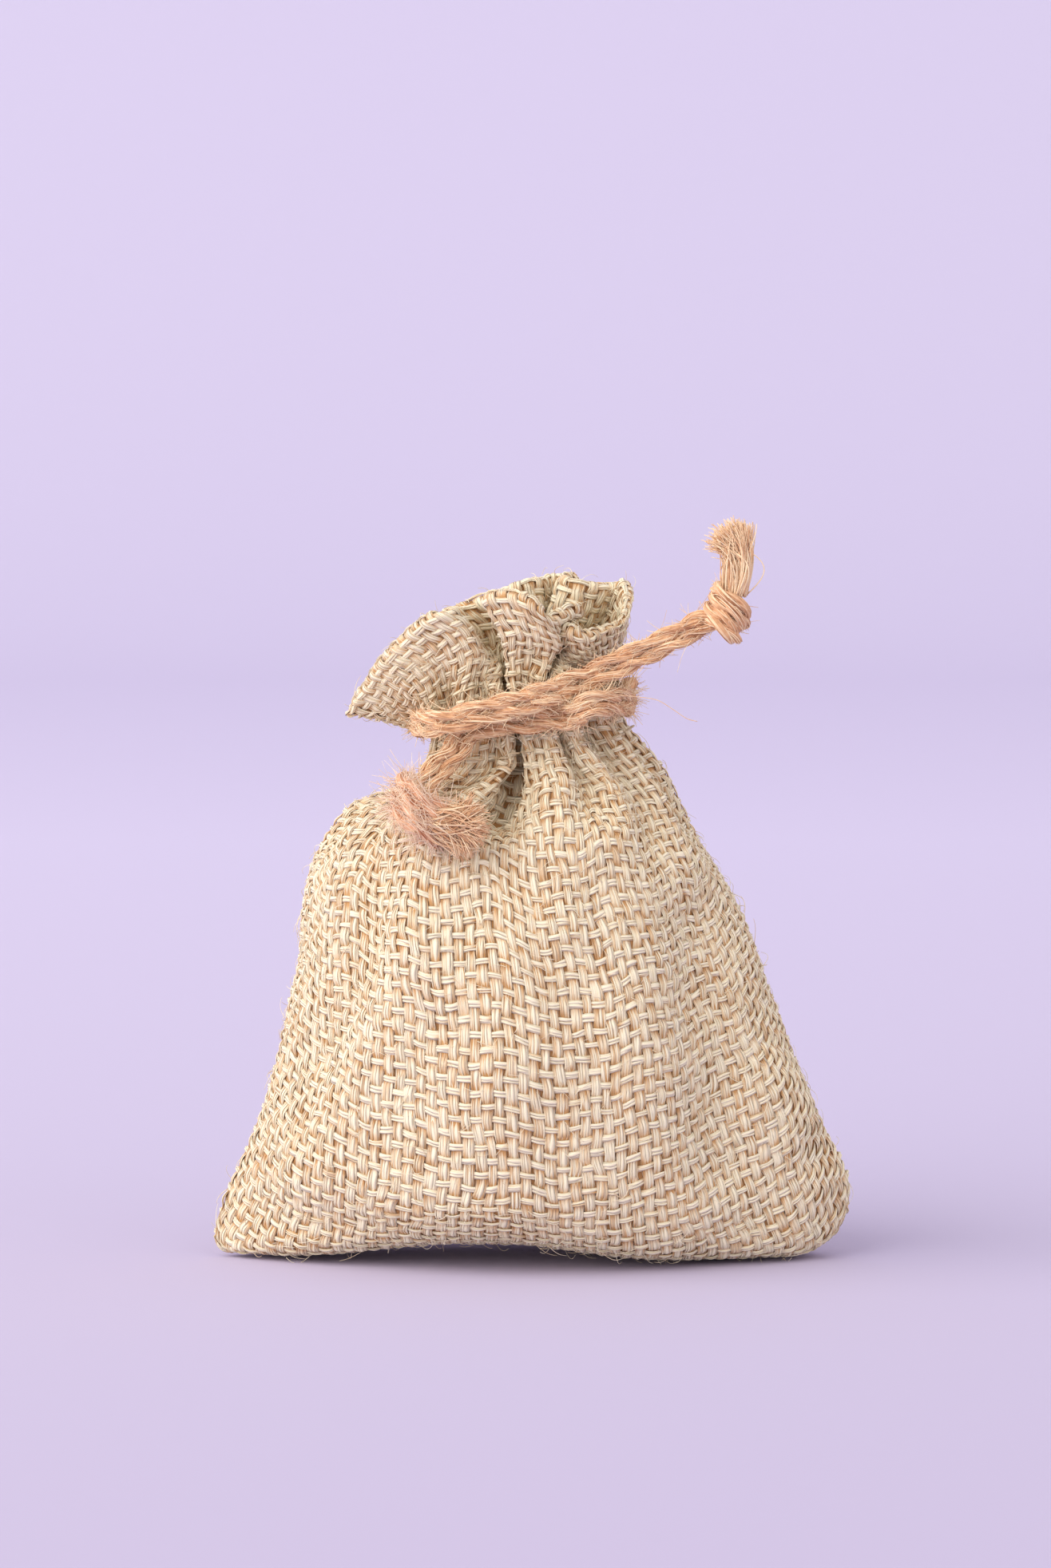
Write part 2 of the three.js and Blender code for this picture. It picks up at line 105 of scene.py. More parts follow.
# Folds of the gathered cloth, by face: middle yarn at the neck and at the rim, width in yarns at
# both, the height where the fold starts, and its strength at the neck and at the rim.
FOLDS_FRONT = [
    [4.0, 4.0, 8.0, 7.0, 50, 0.9, 0.0],
    [11.6, 11.0, 7.5, 7.0, 49, 0.95, 0.1],
    [18.8, 17.0, 6.5, 7.0, 52, 0.85, 0.0],
    [27.0, 23.5, 10.5, 17.0, 55, 1.9, 1.2],
    [34.2, 34.0, 4.5, 4.0, 60, 0.6, 0.0],
    [39.8, 45.0, 7.0, 17.0, 56, 1.35, 1.2],
    [48.0, 52.0, 8.0, 6.0, 49, 0.9, 0.0],
    [56.0, 56.5, 8.0, 6.0, 51, 0.85, 0.1],
]
FOLDS_BACK = [
    [4.5, 5.0, 8.5, 8.0, 50, 0.9, 0.1],
    [12.5, 12.5, 7.5, 13.0, 49, 1.0, 1.0],
    [20.0, 20.0, 7.5, 8.0, 52, 0.9, 0.0],
    [27.5, 27.0, 8.0, 14.0, 48, 1.1, 1.1],
    [35.0, 35.0, 7.0, 8.0, 52, 0.9, 0.0],
    [42.5, 42.0, 8.0, 14.0, 49, 1.05, 1.0],
    [49.8, 50.0, 6.6, 8.0, 53, 0.9, 0.0],
    [56.2, 56.0, 6.4, 7.0, 50, 0.9, 0.2],
]
NECK_SQUEEZE = 0.28       # how much closer the yarns lie where the cloth is gathered
RIM_SQUEEZE = 0.08        # and at the rim
FOLD_LIMIT = 1.7          # steepest turn of the cloth inside a fold, radians
FOLD_SCALE = 1.75         # most that the folds may be strengthened to take the cloth in

# Soft creases and ridges on the filled belly: face (-1 front, 1 back), height, width, line (x, z).
RELIEF = [
    (-1, 1.6, 8.0, [(-8, 50), (-5, 40), (-4, 30)]),
    (-1, 1.0, 3.4, [(-11, 62), (-15, 54), (-15, 46), (-11, 38)]),
    (-1, -1.5, 3.0, [(-15, 60), (-20, 50), (-22, 40), (-27, 28)]),
    (-1, 1.3, 4.5, [(-14, 44), (-20, 30), (-28, 12)]),
    (-1, -2.8, 5.5, [(22, 46), (25, 32), (26.5, 15)]),
    (-1, 0.9, 3.0, [(3.4, 64), (3.2, 56), (4.5, 46)]),
    (-1, -1.9, 2.3, [(-2.2, 66), (-2.0, 63), (-3.4, 60)]),
    (-1, -0.9, 4.0, [(-4, 54), (-8, 46)]),
    (-1, -0.8, 3.2, [(-34, 8), (-26, 5), (-18, 4)]),
    (-1, -0.9, 3.0, [(36, 14), (30, 7), (24, 4)]),
    (-1, 1.6, 5.0, [(33, 23), (36, 12)]),
    (1, 1.1, 8.0, [(6, 50), (4, 38), (5, 28)]),
    (1, -1.2, 3.4, [(16, 58), (21, 44), (26, 26)]),
    (1, -1.0, 3.0, [(-9, 60), (-13, 48), (-20, 34)]),
    (1, 0.8, 4.0, [(-22, 44), (-27, 28), (-33, 12)]),
    (1, -0.9, 3.0, [(-34, 8), (-25, 5)]),
    (1, -0.9, 3.0, [(34, 12), (26, 6)]),
]

# ---- Strings, millimetres --------------------------------------------------------------------

PAIR = 1.70               # spacing of the two strands of a pair
PLY_TURN = 9.5            # length along which the two plies of a strand turn once
PLY_RADIUS = 0.56
PLY_OFFSET = 0.45
FIBRES = 24               # modelled fibres round each ply
LOOP_A_Z = 72.2
LOOP_B_Z = 75.0
LEFT_EDGE_X = -13.4
RIGHT_EDGE_X = 11.8
TUCK = 4.0                # how far a free strand reaches back under the strand it comes out of

WRAP_A = [(-14.75, -4.2, 71.7), (-14.4, -8.8, 71.7), (-12.1, -13.5, 72.0), (-7.4, -14.8, 73.1),
          (-1.0, -14.9, 74.8), (3.6, -13.95, 76.35)]
ROOT_A = [(4.1, -13.7, 76.55), (6.0, -12.5, 77.2), (7.7, -12.3, 77.85)]
TAIL_A = [(8.5, -12.3, 78.25), (12.4, -12.5, 80.1), (17.5, -12.9, 82.5), (20.4, -13.2, 84.0),
          (22.6, -13.5, 85.1)]
INSIDE_KNOT_A = [(25.6, -13.8, 86.7), (26.2, -14.0, 88.8), (26.5, -14.0, 90.5)]
WRAP_B = [(12.95, -4.0, 74.2), (12.5, -8.6, 74.5), (10.6, -12.8, 74.7), (7.9, -15.0, 74.5),
          (6.3, -14.4, 73.5), (5.2, -13.2, 72.95), (4.2, -12.65, 72.75)]
ROOT_B = [(3.75, -12.55, 72.7), (-0.8, -12.3, 72.25), (-5.6, -12.1, 71.8), (-8.2, -12.3, 70.5),
          (-9.6, -13.1, 68.7)]
TAIL_B = [(-9.95, -13.55, 68.05), (-11.9, -14.9, 66.3), (-13.4, -17.0, 64.3), (-13.7, -18.4, 63.0)]
INSIDE_KNOT_B = [(-13.8, -19.2, 60.8), (-13.6, -19.6, 59.0), (-10.6, -21.0, 58.2)]

# Knots: ends, radius, turns, tilt, angle at the first turn and hairs as count, length, reach and tone.
KNOT_A = ([(25.0, -13.9, 82.8), (26.5, -14.0, 91.4)], 2.45, 1.7, 0.8, 3.6, (60, 1.7, 1.1, 0.85))
KNOT_B = ([(-13.3, -18.4, 65.0), (-15.0, -19.8, 55.4)], 3.7, 1.9, 1.3, 2.0, (700, 4.4, 2.6, 0.9))
# Frayed ends: root, bend, tips, radius at the root, fibres, waviness and tone.
TASSEL_A = ((26.5, -14.0, 88.8), (1.7, 0.0, 5.4),
            [(23.2, -14.6, 95.4), (24.4, -14.4, 97.6), (26.8, -14.2, 98.4), (28.8, -13.8, 98.0)],
            1.75, 420, 0.5, 0.80)
TASSEL_B = ((-12.4, -20.8, 59.8), (3.0, -1.2, 0.0),
            [(-7.8, -22.0, 63.2), (-5.8, -23.2, 60.6), (-6.2, -23.0, 57.2), (-9.2, -22.6, 55.0)],
            1.9, 420, 0.9, 0.62)
LOOSE_HAIR = [(11.6, -12.6, 75.6), (14.2, -13.2, 75.4), (16.6, -13.4, 75.0), (18.6, -13.4, 73.8),
              (20.4, -13.2, 72.6), (21.8, -13.0, 72.2)]
# Hairs along the strings: count, longest and furthest out.
WRAP_HAIRS = (300, 3.0, 1.7)
FREE_HAIRS = (300, 1.7, 1.2)
LONG_HAIRS = (90, 4.2, 2.6)
STRAY_FIBRES = 2600       # on the cloth

# Yarn colours are dark, middle and light.
STRAW = ((0.60, 0.32, 0.12), (0.82, 0.60, 0.36), (0.99, 0.89, 0.66))
JUTE = ((0.34, 0.13, 0.05), (0.79, 0.45, 0.24), (1.0, 0.79, 0.53))
FLUFF = ((0.42, 0.15, 0.07), (0.87, 0.50, 0.30), (1.0, 0.81, 0.62))
# Dark brown of the sheet behind the yarns: painted shade in the gaps of the weave.
GAP_SHADE_BROWN = (0.50, 0.25, 0.09)
THREAD_COLOUR = (0.86, 0.68, 0.44)
WADDING_WHITE = (0.85, 0.83, 0.78)


# ---- Curves and noise ------------------------------------------------------------------------

def smooth_line(points, per_span):
    """Catmull-Rom curve through points of any dimension, per_span steps between each two."""
    points = np.asarray(points, float)
    padded = np.vstack([2 * points[0] - points[1], points, 2 * points[-1] - points[-2]])
    t = np.linspace(0, 1, per_span, endpoint=False)[:, None]
    spans = []
    for a, b, c, d in zip(padded, padded[1:], padded[2:], padded[3:]):
        spans.append(0.5 * (2 * b + (c - a) * t + (2 * a - 5 * b + 4 * c - d) * t**2
                            + (3 * b - a - 3 * c + d) * t**3))
    return np.vstack([*spans, points[-1:]])


def line_lengths(points):
    """Length run along a line of points, from 0 at its start."""
    return np.concatenate([[0], np.cumsum(np.linalg.norm(np.diff(points, axis=0), axis=1))])


def at_lengths(points, lengths):
    """Points at given lengths along a line."""
    run = line_lengths(points)
    return np.stack([np.interp(lengths, run, points[:, k]) for k in range(points.shape[1])], axis=1)


def even_line(points, step):
    """The same line with points about step apart."""
    total = line_lengths(points)[-1]
    return at_lengths(points, np.linspace(0, total, max(3, int(round(total / step)) + 1)))


def smoothstep(low, high, value):
    t = np.clip((value - low) / (high - low), 0, 1)
    return t * t * (3 - 2 * t)


def unit(vectors):
    return vectors / np.maximum(np.linalg.norm(vectors, axis=-1, keepdims=True), 1e-9)


def wavy(count, length, cell):
    """Smooth random rows, count of them and length long, about -1 to 1, changing over cell steps."""
    knots = rng.normal(0, 0.5, (count, int(length / cell) + 3))
    x = np.arange(length) / cell
    low = x.astype(int)
    t = smoothstep(0, 1, x - low)
    return knots[:, low] * (1 - t) + knots[:, low + 1] * t


# ---- The surface of the cloth ----------------------------------------------------------------

RING = 161                # points along one face of an outline ring


def face_outline(station, side):
    """One face of an outline ring: left to right in front (side -1), right to left behind (side 1)."""
    left_x, left_z, right_x, right_z, middle_z, depth, pointed = station
    angle = np.linspace(0, math.pi, RING)
    half = (right_x - left_x) / 2
    across = -np.cos(angle)
    tip_z = np.where(across < 0, left_z, right_z)
    corner = np.where(across < 0, *CORNERS)
    into_corner = np.clip(1 - half * (1 - np.abs(across)) / corner, 0, 1)
    turned_up = 1 - np.sqrt(1 - into_corner**2)
    tilted = np.abs(across) ** 1.5
    upper = smoothstep(12, 40, middle_z)
    x = (left_x + right_x) / 2 + half * across
    y = side * depth * np.sin(angle) ** pointed
    z = middle_z + (tip_z - middle_z) * (turned_up * (1 - upper) + tilted * upper)
    ring = np.stack([x, y, z], axis=1)
    return ring if side < 0 else ring[::-1]


def resample(line, count):
    return at_lengths(line, np.linspace(0, line_lengths(line)[-1], count))


def outline_rings(side):
    """Outline of one face from the bottom fold to the rim, evenly spaced along each ring."""
    stations = smooth_line(STATIONS, STATION_STEPS)
    stations[:, 5] = np.maximum(stations[:, 5], 0)
    rings = [resample(face_outline(station, side), RING) for station in stations]
    rim = resample(smooth_line(RIM_FRONT if side < 0 else RIM_BACK, 8), RING)
    neck = rings[-1]
    steps = 40
    for step in range(1, steps + 1):
        t = step / steps
        flare = t ** 1.25
        rings.append(neck * (1 - flare) + rim * flare)
    return np.array(rings)


def fold_profile(folds, heights):
    """Turn of the cloth, before scaling, for each height and each fine step across a face."""
    yarn = np.arange(FACE_YARNS * FINE + 1) / FINE
    header = smoothstep(NECK_TOP_Z, FLARE_Z, heights)[:, None]
    total = np.zeros((len(heights), len(yarn)))
    for neck_yarn, rim_yarn, neck_width, rim_width, start, neck_strength, rim_strength in folds:
        middle = neck_yarn + (rim_yarn - neck_yarn) * header
        grown = smoothstep(start, 70, heights)[:, None] ** 1.1
        width = neck_width * (1.6 - 0.6 * grown) + (rim_width - neck_width) * header
        strength = grown * (neck_strength + (rim_strength - neck_strength) * header)
        offset = (yarn[None, :] - middle) / width
        total += np.where(np.abs(offset) < 0.5, np.sin(2 * math.pi * offset), 0) * strength
    return total


def folded_face(side, folds):
    """One face of the cloth with its folds: fine rows by fine steps across, ends included."""
    rings = outline_rings(side)
    up = np.gradient(rings, axis=0)
    along = np.gradient(rings, axis=1)
    outward = unit(np.cross(unit(along), unit(up)))
    rows = len(rings)
    body_rows = (len(STATIONS) - 1) * STATION_STEPS + 1
    outward[:, :, 2] *= 1 - 0.9 * smoothstep(body_rows, rows, np.arange(rows))[:, None] ** 0.5
    outward = unit(outward)
    middle = rings[:, RING // 2, 2]
    heights = middle.copy()
    heights[body_rows:] = NECK_TOP_Z + (np.arange(rows - body_rows) + 1) / (rows - body_rows) * 12
    profile = fold_profile(folds, heights)
    result = np.zeros((rows, profile.shape[1], 3))
    for row in range(rows):
        girth = np.linalg.norm(np.diff(rings[row], axis=0), axis=1).sum()
        opened = (NECK_SQUEEZE - RIM_SQUEEZE) * smoothstep(NECK_TOP_Z, FLARE_Z, heights[row])
        step = YARN_PITCH / FINE * (1 - NECK_SQUEEZE * smoothstep(40, 66, heights[row]) + opened)
        low, high = 0.0, FOLD_SCALE
        for _ in range(24):
            scale = (low + high) / 2
            turn = np.clip(profile[row] * scale, -FOLD_LIMIT, FOLD_LIMIT)
            if np.cos(turn[:-1]).sum() * step > girth:
                low = scale
            else:
                high = scale
        run = np.concatenate([[0], np.cumsum(np.cos(turn[:-1]) * step)])
        depth = np.concatenate([[0], np.cumsum(np.sin(turn[:-1]) * step)])
        depth -= np.linspace(0, depth[-1], len(depth))
        where = run / run[-1] * (RING - 1)
        for axis in range(3):
            base = np.interp(where, np.arange(RING), rings[row, :, axis])
            normal = np.interp(where, np.arange(RING), outward[row, :, axis])
            result[row, :, axis] = base + normal * depth
    return result


def cloth_rows(surface):
    """Resamples every warp line evenly: picks below the strings, then picks above them."""
    lengths = np.linalg.norm(np.diff(surface, axis=0), axis=2)
    run = np.vstack([np.zeros(surface.shape[1]), np.cumsum(lengths, axis=0)])
    string_row = int(np.argmin(np.abs(STATIONS[:, 4] - STRING_Z))) * STATION_STEPS
    kernel = np.ones(9) / 9
    targets = []
    for k in range(surface.shape[1]):
        below = np.linspace(0, run[string_row, k], BODY_PICKS * FINE, endpoint=False)
        above = np.linspace(run[string_row, k], run[-1, k], HEADER_PICKS * FINE + 1)
        targets.append(np.interp(np.concatenate([below, above]), run[:, k], np.arange(len(surface))))
    targets = np.array(targets).T
    padded = np.hstack([targets[:, -4:], targets, targets[:, :4]])
    targets = np.apply_along_axis(lambda row: np.convolve(row, kernel, "valid"), 1, padded)
    low = np.clip(targets.astype(int), 0, len(surface) - 2)
    t = (targets - low)[:, :, None]
    columns = np.arange(surface.shape[1])[None, :]
    return surface[low, columns] * (1 - t) + surface[low + 1, columns] * t


def grid_normals(grid):
    """Outward normals of a grid that closes on itself across its columns."""
    across = np.roll(grid, -2, axis=1) - np.roll(grid, 2, axis=1)
    up = np.gradient(grid, axis=0)
    return unit(np.cross(unit(across), unit(up)))


def relax(grid, rounds):
    """Evens out a grid that closes across its columns, a little each round. Its end rows stay."""
    for _ in range(rounds):
        mean = (np.roll(grid, 1, axis=1) + np.roll(grid, -1, axis=1)) / 2
        vertical = (grid[:-2] + grid[2:]) / 2
        grid[1:-1] = 0.5 * grid[1:-1] + 0.25 * mean[1:-1] + 0.25 * vertical
    return grid


def relief_on(grid, normals):
    """Pushes soft ridges and creases into the belly."""
    moved = np.zeros(grid.shape[:2])
    for side, height, width, line in RELIEF:
        track = smooth_line(line, 10)
        flat = grid[:, :, [0, 2]]
        distance = np.full(grid.shape[:2], 1e9)
        for point in track:
            distance = np.minimum(distance, np.linalg.norm(flat - point, axis=2))
        facing = smoothstep(0.1, 0.5, side * normals[:, :, 1])
        moved += height * np.exp(-(distance / width) ** 2) * facing
    return grid + normals * moved[:, :, None]


def arched_bottom(grid):
    """Lifts the middle of the bottom off the floor, most of all in front."""
    x, y, z = grid[:, :, 0], grid[:, :, 1], grid[:, :, 2]
    low = 1 - smoothstep(0.5, 11, z)
    lift = (2.0 - 0.05 * y) * np.exp(-np.abs((x + 7) / 17) ** 2.6)
    grid[:, :, 2] = z + low * lift
    return grid


def uneven_field(rows, columns, row_cell, column_cell):
    """Smooth random heights over a grid that closes across its columns, about -1 to 1."""
    coarse = wavy(rows // row_cell + 3, columns, column_cell)
    close = np.linspace(0, 1, column_cell)
    coarse[:, -column_cell:] = coarse[:, -column_cell:] * (1 - close) + coarse[:, :1] * close
    x = np.arange(rows) / row_cell
    low = x.astype(int)
    t = smoothstep(0, 1, x - low)[:, None]
    return coarse[low] * (1 - t) + coarse[low + 1] * t


def rough_on(grid, normals):
    """Small uneven waves of slack cloth."""
    field = uneven_field(*grid.shape[:2], 18, 26)
    strength = 0.55 * smoothstep(2, 9, grid[:, :, 2])
    return grid + normals * (field * strength)[:, :, None]


def yarns_pushed(grid):
    """Moves the yarns about within the cloth, so that they don't lie straight and evenly spaced."""
    rows, columns = grid.shape[:2]
    across = unit(np.roll(grid, -1, axis=1) - np.roll(grid, 1, axis=1))
    up = unit(np.gradient(grid, axis=0))
    held = smoothstep(0, 8, np.arange(rows))[:, None, None]
    sideways = uneven_field(rows, columns, 9, 10)[:, :, None]
    upward = uneven_field(rows, columns, 10, 9)[:, :, None]
    return grid + (across * sideways + up * upward) * held * YARN_PUSH


def turned_hem(grid, normals):
    """Rows past the rim: the cloth turns in and hangs behind itself."""
    rim, normal = grid[-1], normals[-1]
    upward = unit(grid[-1] - grid[-3])
    columns = np.arange(grid.shape[1])
    from_seam = np.abs((columns + FACE_YARNS * FINE // 2) % (FACE_YARNS * FINE) - FACE_YARNS * FINE // 2)
    gap = HEM_GAP * (0.3 + 0.7 * smoothstep(0, 6 * FINE, from_seam))[:, None]
    radius = gap / 2
    turn = []
    for step in range(1, HEM_TURN_STEPS):
        angle = math.pi * step / HEM_TURN_STEPS
        turn.append(rim - normal * radius * (1 - math.cos(angle)) + upward * radius * math.sin(angle))
    down = [grid[-1 - k] - normals[-1 - k] * gap for k in range(HEM_PICKS * FINE + 1)]
    hem = np.array(down)
    for _ in range(6):
        hem[1:] = 0.5 * hem[1:] + 0.25 * (np.roll(hem[1:], 1, axis=1) + np.roll(hem[1:], -1, axis=1))
    return np.concatenate([np.array(turn), hem])


def cloth_grid():
    """Fine grid of the whole cloth: rows from the bottom fold over the rim to the hem's edge."""
    front = folded_face(-1, FOLDS_FRONT)
    back = folded_face(1, FOLDS_BACK)
    surface = np.concatenate([front[:, :-1], back[:, :-1]], axis=1)
    grid = cloth_rows(surface)
    grid = relax(grid, 14)
    normals = grid_normals(grid)
    grid = relief_on(grid, normals)
    grid = rough_on(grid, grid_normals(grid))
    grid = yarns_pushed(grid)
    grid = arched_bottom(grid)
    grid[:, :, 2] = np.maximum(grid[:, :, 2], 0.5)
    outer_rows = len(grid)
    return np.concatenate([grid, turned_hem(grid, grid_normals(grid))]), outer_rows


# ---- Meshes ----------------------------------------------------------------------------------

def make_mesh(name, material, points, quads, triangles=(), floats=None):
    """A smooth-shaded object from arrays in millimetres."""
    mesh = bpy.data.meshes.new(name)
    quads = np.asarray(quads, np.int32).reshape(-1, 4)
    triangles = np.asarray(triangles, np.int32).reshape(-1, 3)
    corners = np.concatenate([quads.ravel(), triangles.ravel()])
    starts = np.concatenate([np.arange(len(quads)) * 4,
                             len(quads) * 4 + np.arange(len(triangles)) * 3])
    mesh.vertices.add(len(points))
    mesh.vertices.foreach_set("co", (np.asarray(points) * MM).astype(np.float32).ravel())
    mesh.loops.add(len(corners))
    mesh.loops.foreach_set("vertex_index", corners.astype(np.int32))
    mesh.polygons.add(len(starts))
    mesh.polygons.foreach_set("loop_start", starts.astype(np.int32))
    mesh.polygons.foreach_set("use_smooth", np.ones(len(starts), bool))
    for key, values in (floats or {}).items():
        attribute = mesh.attributes.new(key, "FLOAT", "POINT")
        attribute.data.foreach_set("value", values.astype(np.float32))
    mesh.update(calc_edges=True)
    mesh.validate()
    mesh.materials.append(material)
    obj = bpy.data.objects.new(name, mesh)
    bpy.context.scene.collection.objects.link(obj)
    return obj


def fixed(obj, body, slot, *nodes):
    """Fixes a piece to a body, in the place of CAD nodes where it stands for any."""
    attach(obj, body)
    if nodes:
        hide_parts(*nodes)


def quads_between(rings, following):
    """Quads from closed rings of point numbers to the rings that follow them."""
    return np.stack([rings, np.roll(rings, -1, axis=-1), np.roll(following, -1, axis=-1), following],
                    axis=-1).reshape(-1, 4)


def tube_arrays(centres, wide, thick, sides, closed):
    """Points, quads and end triangles of tubes; centres, wide and thick are tubes x steps x 3."""
    count, steps = centres.shape[:2]
    angle = 2 * math.pi * np.arange(sides) / sides
    points = (centres[:, :, None] + wide[:, :, None] * np.cos(angle)[:, None]
              + thick[:, :, None] * np.sin(angle)[:, None])
    index = np.arange(count * steps * sides).reshape(count, steps, sides)
    points = points.reshape(-1, 3)
    if closed:
        return points, quads_between(index, np.roll(index, -1, axis=1)), np.zeros((0, 3), int)
    first = len(points) + np.arange(count)
    last = first + count
    ends = np.concatenate([centres[:, 0], centres[:, -1]])
    rims = [(first, np.roll(index[:, 0], -1, axis=1), index[:, 0]),
            (last, index[:, -1], np.roll(index[:, -1], -1, axis=1))]
    fans = [np.stack([np.repeat(tip, sides), one.ravel(), two.ravel()], axis=1) for tip, one, two in rims]
    return np.vstack([points, ends]), quads_between(index[:, :-1], index[:, 1:]), np.vstack(fans)


def ring_values(values, sides, closed):
    """Values given for each tube and step, repeated for the points that tube_arrays makes."""
    flat = np.repeat(values.reshape(-1), sides)
    return flat if closed else np.concatenate([flat, values[:, 0], values[:, -1]])


# ---- Woven cloth -----------------------------------------------------------------------------

RIBBON_SIDES = 6
BUNDLE_SIDES = 4
# A yarn's ribbon: half width in pitches and tone. Its bundles: place and half width in pitches, height,
# swing and tone.
# The bundles are lighter than the ribbon they lie on, the middle warp bundle lightest and the outer ones
# darkest: in part the yarn's own pale fibres, in part a painted highlight on the yarn's crown and painted
# shade on its flanks.
WARP = {"ribbon": 0.52, "tone": 0.34, "bundles": [
    (-0.32, 0.08, 0.07, 1.0, 0.40), (-0.08, 0.15, 0.10, 1.4, 0.80),
    (0.16, 0.08, 0.09, 1.2, 0.56), (0.35, 0.07, 0.07, 1.0, 0.36)]}
WEFT = {"ribbon": 0.27, "tone": 0.66, "bundles": [
    (-0.11, 0.10, 0.09, 1.2, 1.0), (0.09, 0.12, 0.11, 1.4, 1.25)]}
RIBBON_THICKNESS = 0.09
BUNDLE_THICKNESS = 0.06
SEAM_PITCH = 1.4          # spacing of the yarns in the seam allowances
YARN_OBJECTS = 4          # objects that a set of ribbons is shared out over, and each of its bundles
BACKING_DEPTHS = (0.10, 0.22)   # of the backing sheet's two faces, below the middle of the weave
STITCH_RADIUS = 0.13


def yarn_shades(count, steps, tone, spread):
    """How light each stretch of each yarn is, about 0 to 1."""
    even = tone + rng.normal(0, 0.06, (count, 1)) + wavy(count, steps, 40) * 0.10
    return np.clip(even + wavy(count, steps, 6) * spread, 0, 1)


def yarn_layers(centres, normals, across, swing, pitch, make):
    """Each yarn as a flat ribbon of fibres and the finer bundles of fibres that lie on it."""
    count, steps = swing.shape
    side = unit(across)
    wander = wavy(count, steps, 7) * 0.18
    height = swing * (1 + wavy(count, steps, 5) * 0.55)
    loose = 1 + wavy(count, steps, 22) * 0.22
    uneven = loose + wavy(count, steps, 7) * 0.22 - 0.14 * swing / YARN_RISE
    ribbon_width = make["ribbon"] * pitch * uneven
    # dip is 1 where the yarn rises over a crossing and -1 where it dips under; the yarn material paints
    # highlight and shade from it.
    dip = swing / YARN_RISE
    ribbon = {
        "centres": centres + normals * height[:, :, None] + side * wander[:, :, None],
        "wide": side * ribbon_width[:, :, None],
        "thick": normals * (RIBBON_THICKNESS * (1 + wavy(count, steps, 9) * 0.2))[:, :, None],
        "shade": yarn_shades(count, steps, make["tone"], 0.60), "dip": dip,
    }
    bundles = []
    for place, width, lift, steepness, tone in make["bundles"]:
        moved = wander + place * pitch + wavy(count, steps, 7) * 0.14
        half_width = width * pitch * loose * (1 + wavy(count, steps, 5) * 0.7)
        raised = height * steepness + lift + wavy(count, steps, 6) * 0.05
        bundles.append({
            "centres": centres + normals * raised[:, :, None] + side * moved[:, :, None],
            "wide": side * half_width[:, :, None],
            "thick": normals * (BUNDLE_THICKNESS * (1 + wavy(count, steps, 7) * 0.3))[:, :, None],
            "shade": yarn_shades(count, steps, tone, 0.75), "dip": dip,
        })
    together = {key: np.stack([bundle[key] for bundle in bundles], axis=1) for key in ribbon}
    together = {key: value.reshape(-1, *value.shape[2:]) for key, value in together.items()}
    return ribbon, together


def warp_layers(grid, normals):
    """The yarns that run from the bottom up, over the rim and down inside."""
    across = (np.roll(grid, -FINE, axis=1) - np.roll(grid, FINE, axis=1)) / 2
    rows, columns = grid.shape[:2]
    chosen = np.arange(0, columns, FINE)
    sign = np.where(np.arange(len(chosen)) % 2 == 0, 1.0, -1.0)
    swing = YARN_RISE * sign[:, None] * np.cos(math.pi * np.arange(rows) / FINE)[None, :]
    pitch = np.clip(np.linalg.norm(across[:, chosen], axis=2).T, 0.7, 1.6)
    return yarn_layers(grid[:, chosen].transpose(1, 0, 2), normals[:, chosen].transpose(1, 0, 2),
                       -across[:, chosen].transpose(1, 0, 2), swing, pitch, WARP)


def weft_layers(grid, normals):
    """The yarns that run round the pouch."""
    up = np.gradient(grid, axis=0) * FINE
    rows, columns = grid.shape[:2]
    chosen = np.arange(0, rows, FINE)
    sign = np.where(np.arange(len(chosen)) % 2 == 0, -1.0, 1.0)
    swing = YARN_RISE * sign[:, None] * np.cos(math.pi * np.arange(columns) / FINE)[None, :]
    pitch = np.clip(np.linalg.norm(up[chosen], axis=2), 0.8, 1.9)
    return yarn_layers(grid[chosen], normals[chosen], up[chosen], swing, pitch, WEFT)


def yarn_mesh(name, yarns, sides, closed, material):
    """One object from a set of yarns."""
    points, quads, triangles = tube_arrays(yarns["centres"], yarns["wide"], yarns["thick"], sides, closed)
    count, steps = yarns["shade"].shape
    run = np.broadcast_to(np.arange(steps) * YARN_PITCH / FINE, (count, steps))
    key = np.broadcast_to(rng.uniform(0, 100, (count, 1)), (count, steps))
    spin = np.tile(np.arange(sides) / sides, count * steps)
    if not closed:
        spin = np.concatenate([spin, np.zeros(2 * count)])
    floats = {"spin": np.minimum(spin, 1 - spin) * 2}
    for label, values in (("shade", yarns["shade"]), ("dip", yarns["dip"]), ("run", run), ("yarn", key)):
        floats[label] = ring_values(values, sides, closed)
    return make_mesh(name, material, points, quads, triangles, floats)


def part_of(yarns, chosen):
    return {key: value[chosen] for key, value in yarns.items()}


def yarn_pieces(name, yarns, sides, closed, pieces, material):
    """A set of yarns as several objects, each small enough to share."""
    count = math.ceil(len(yarns["shade"]) / pieces)
    shares = [part_of(yarns, slice(k * count, (k + 1) * count)) for k in range(pieces)]
    return [yarn_mesh(f"{name}_{k + 1}", share, sides, closed, material) for k, share in enumerate(shares)]


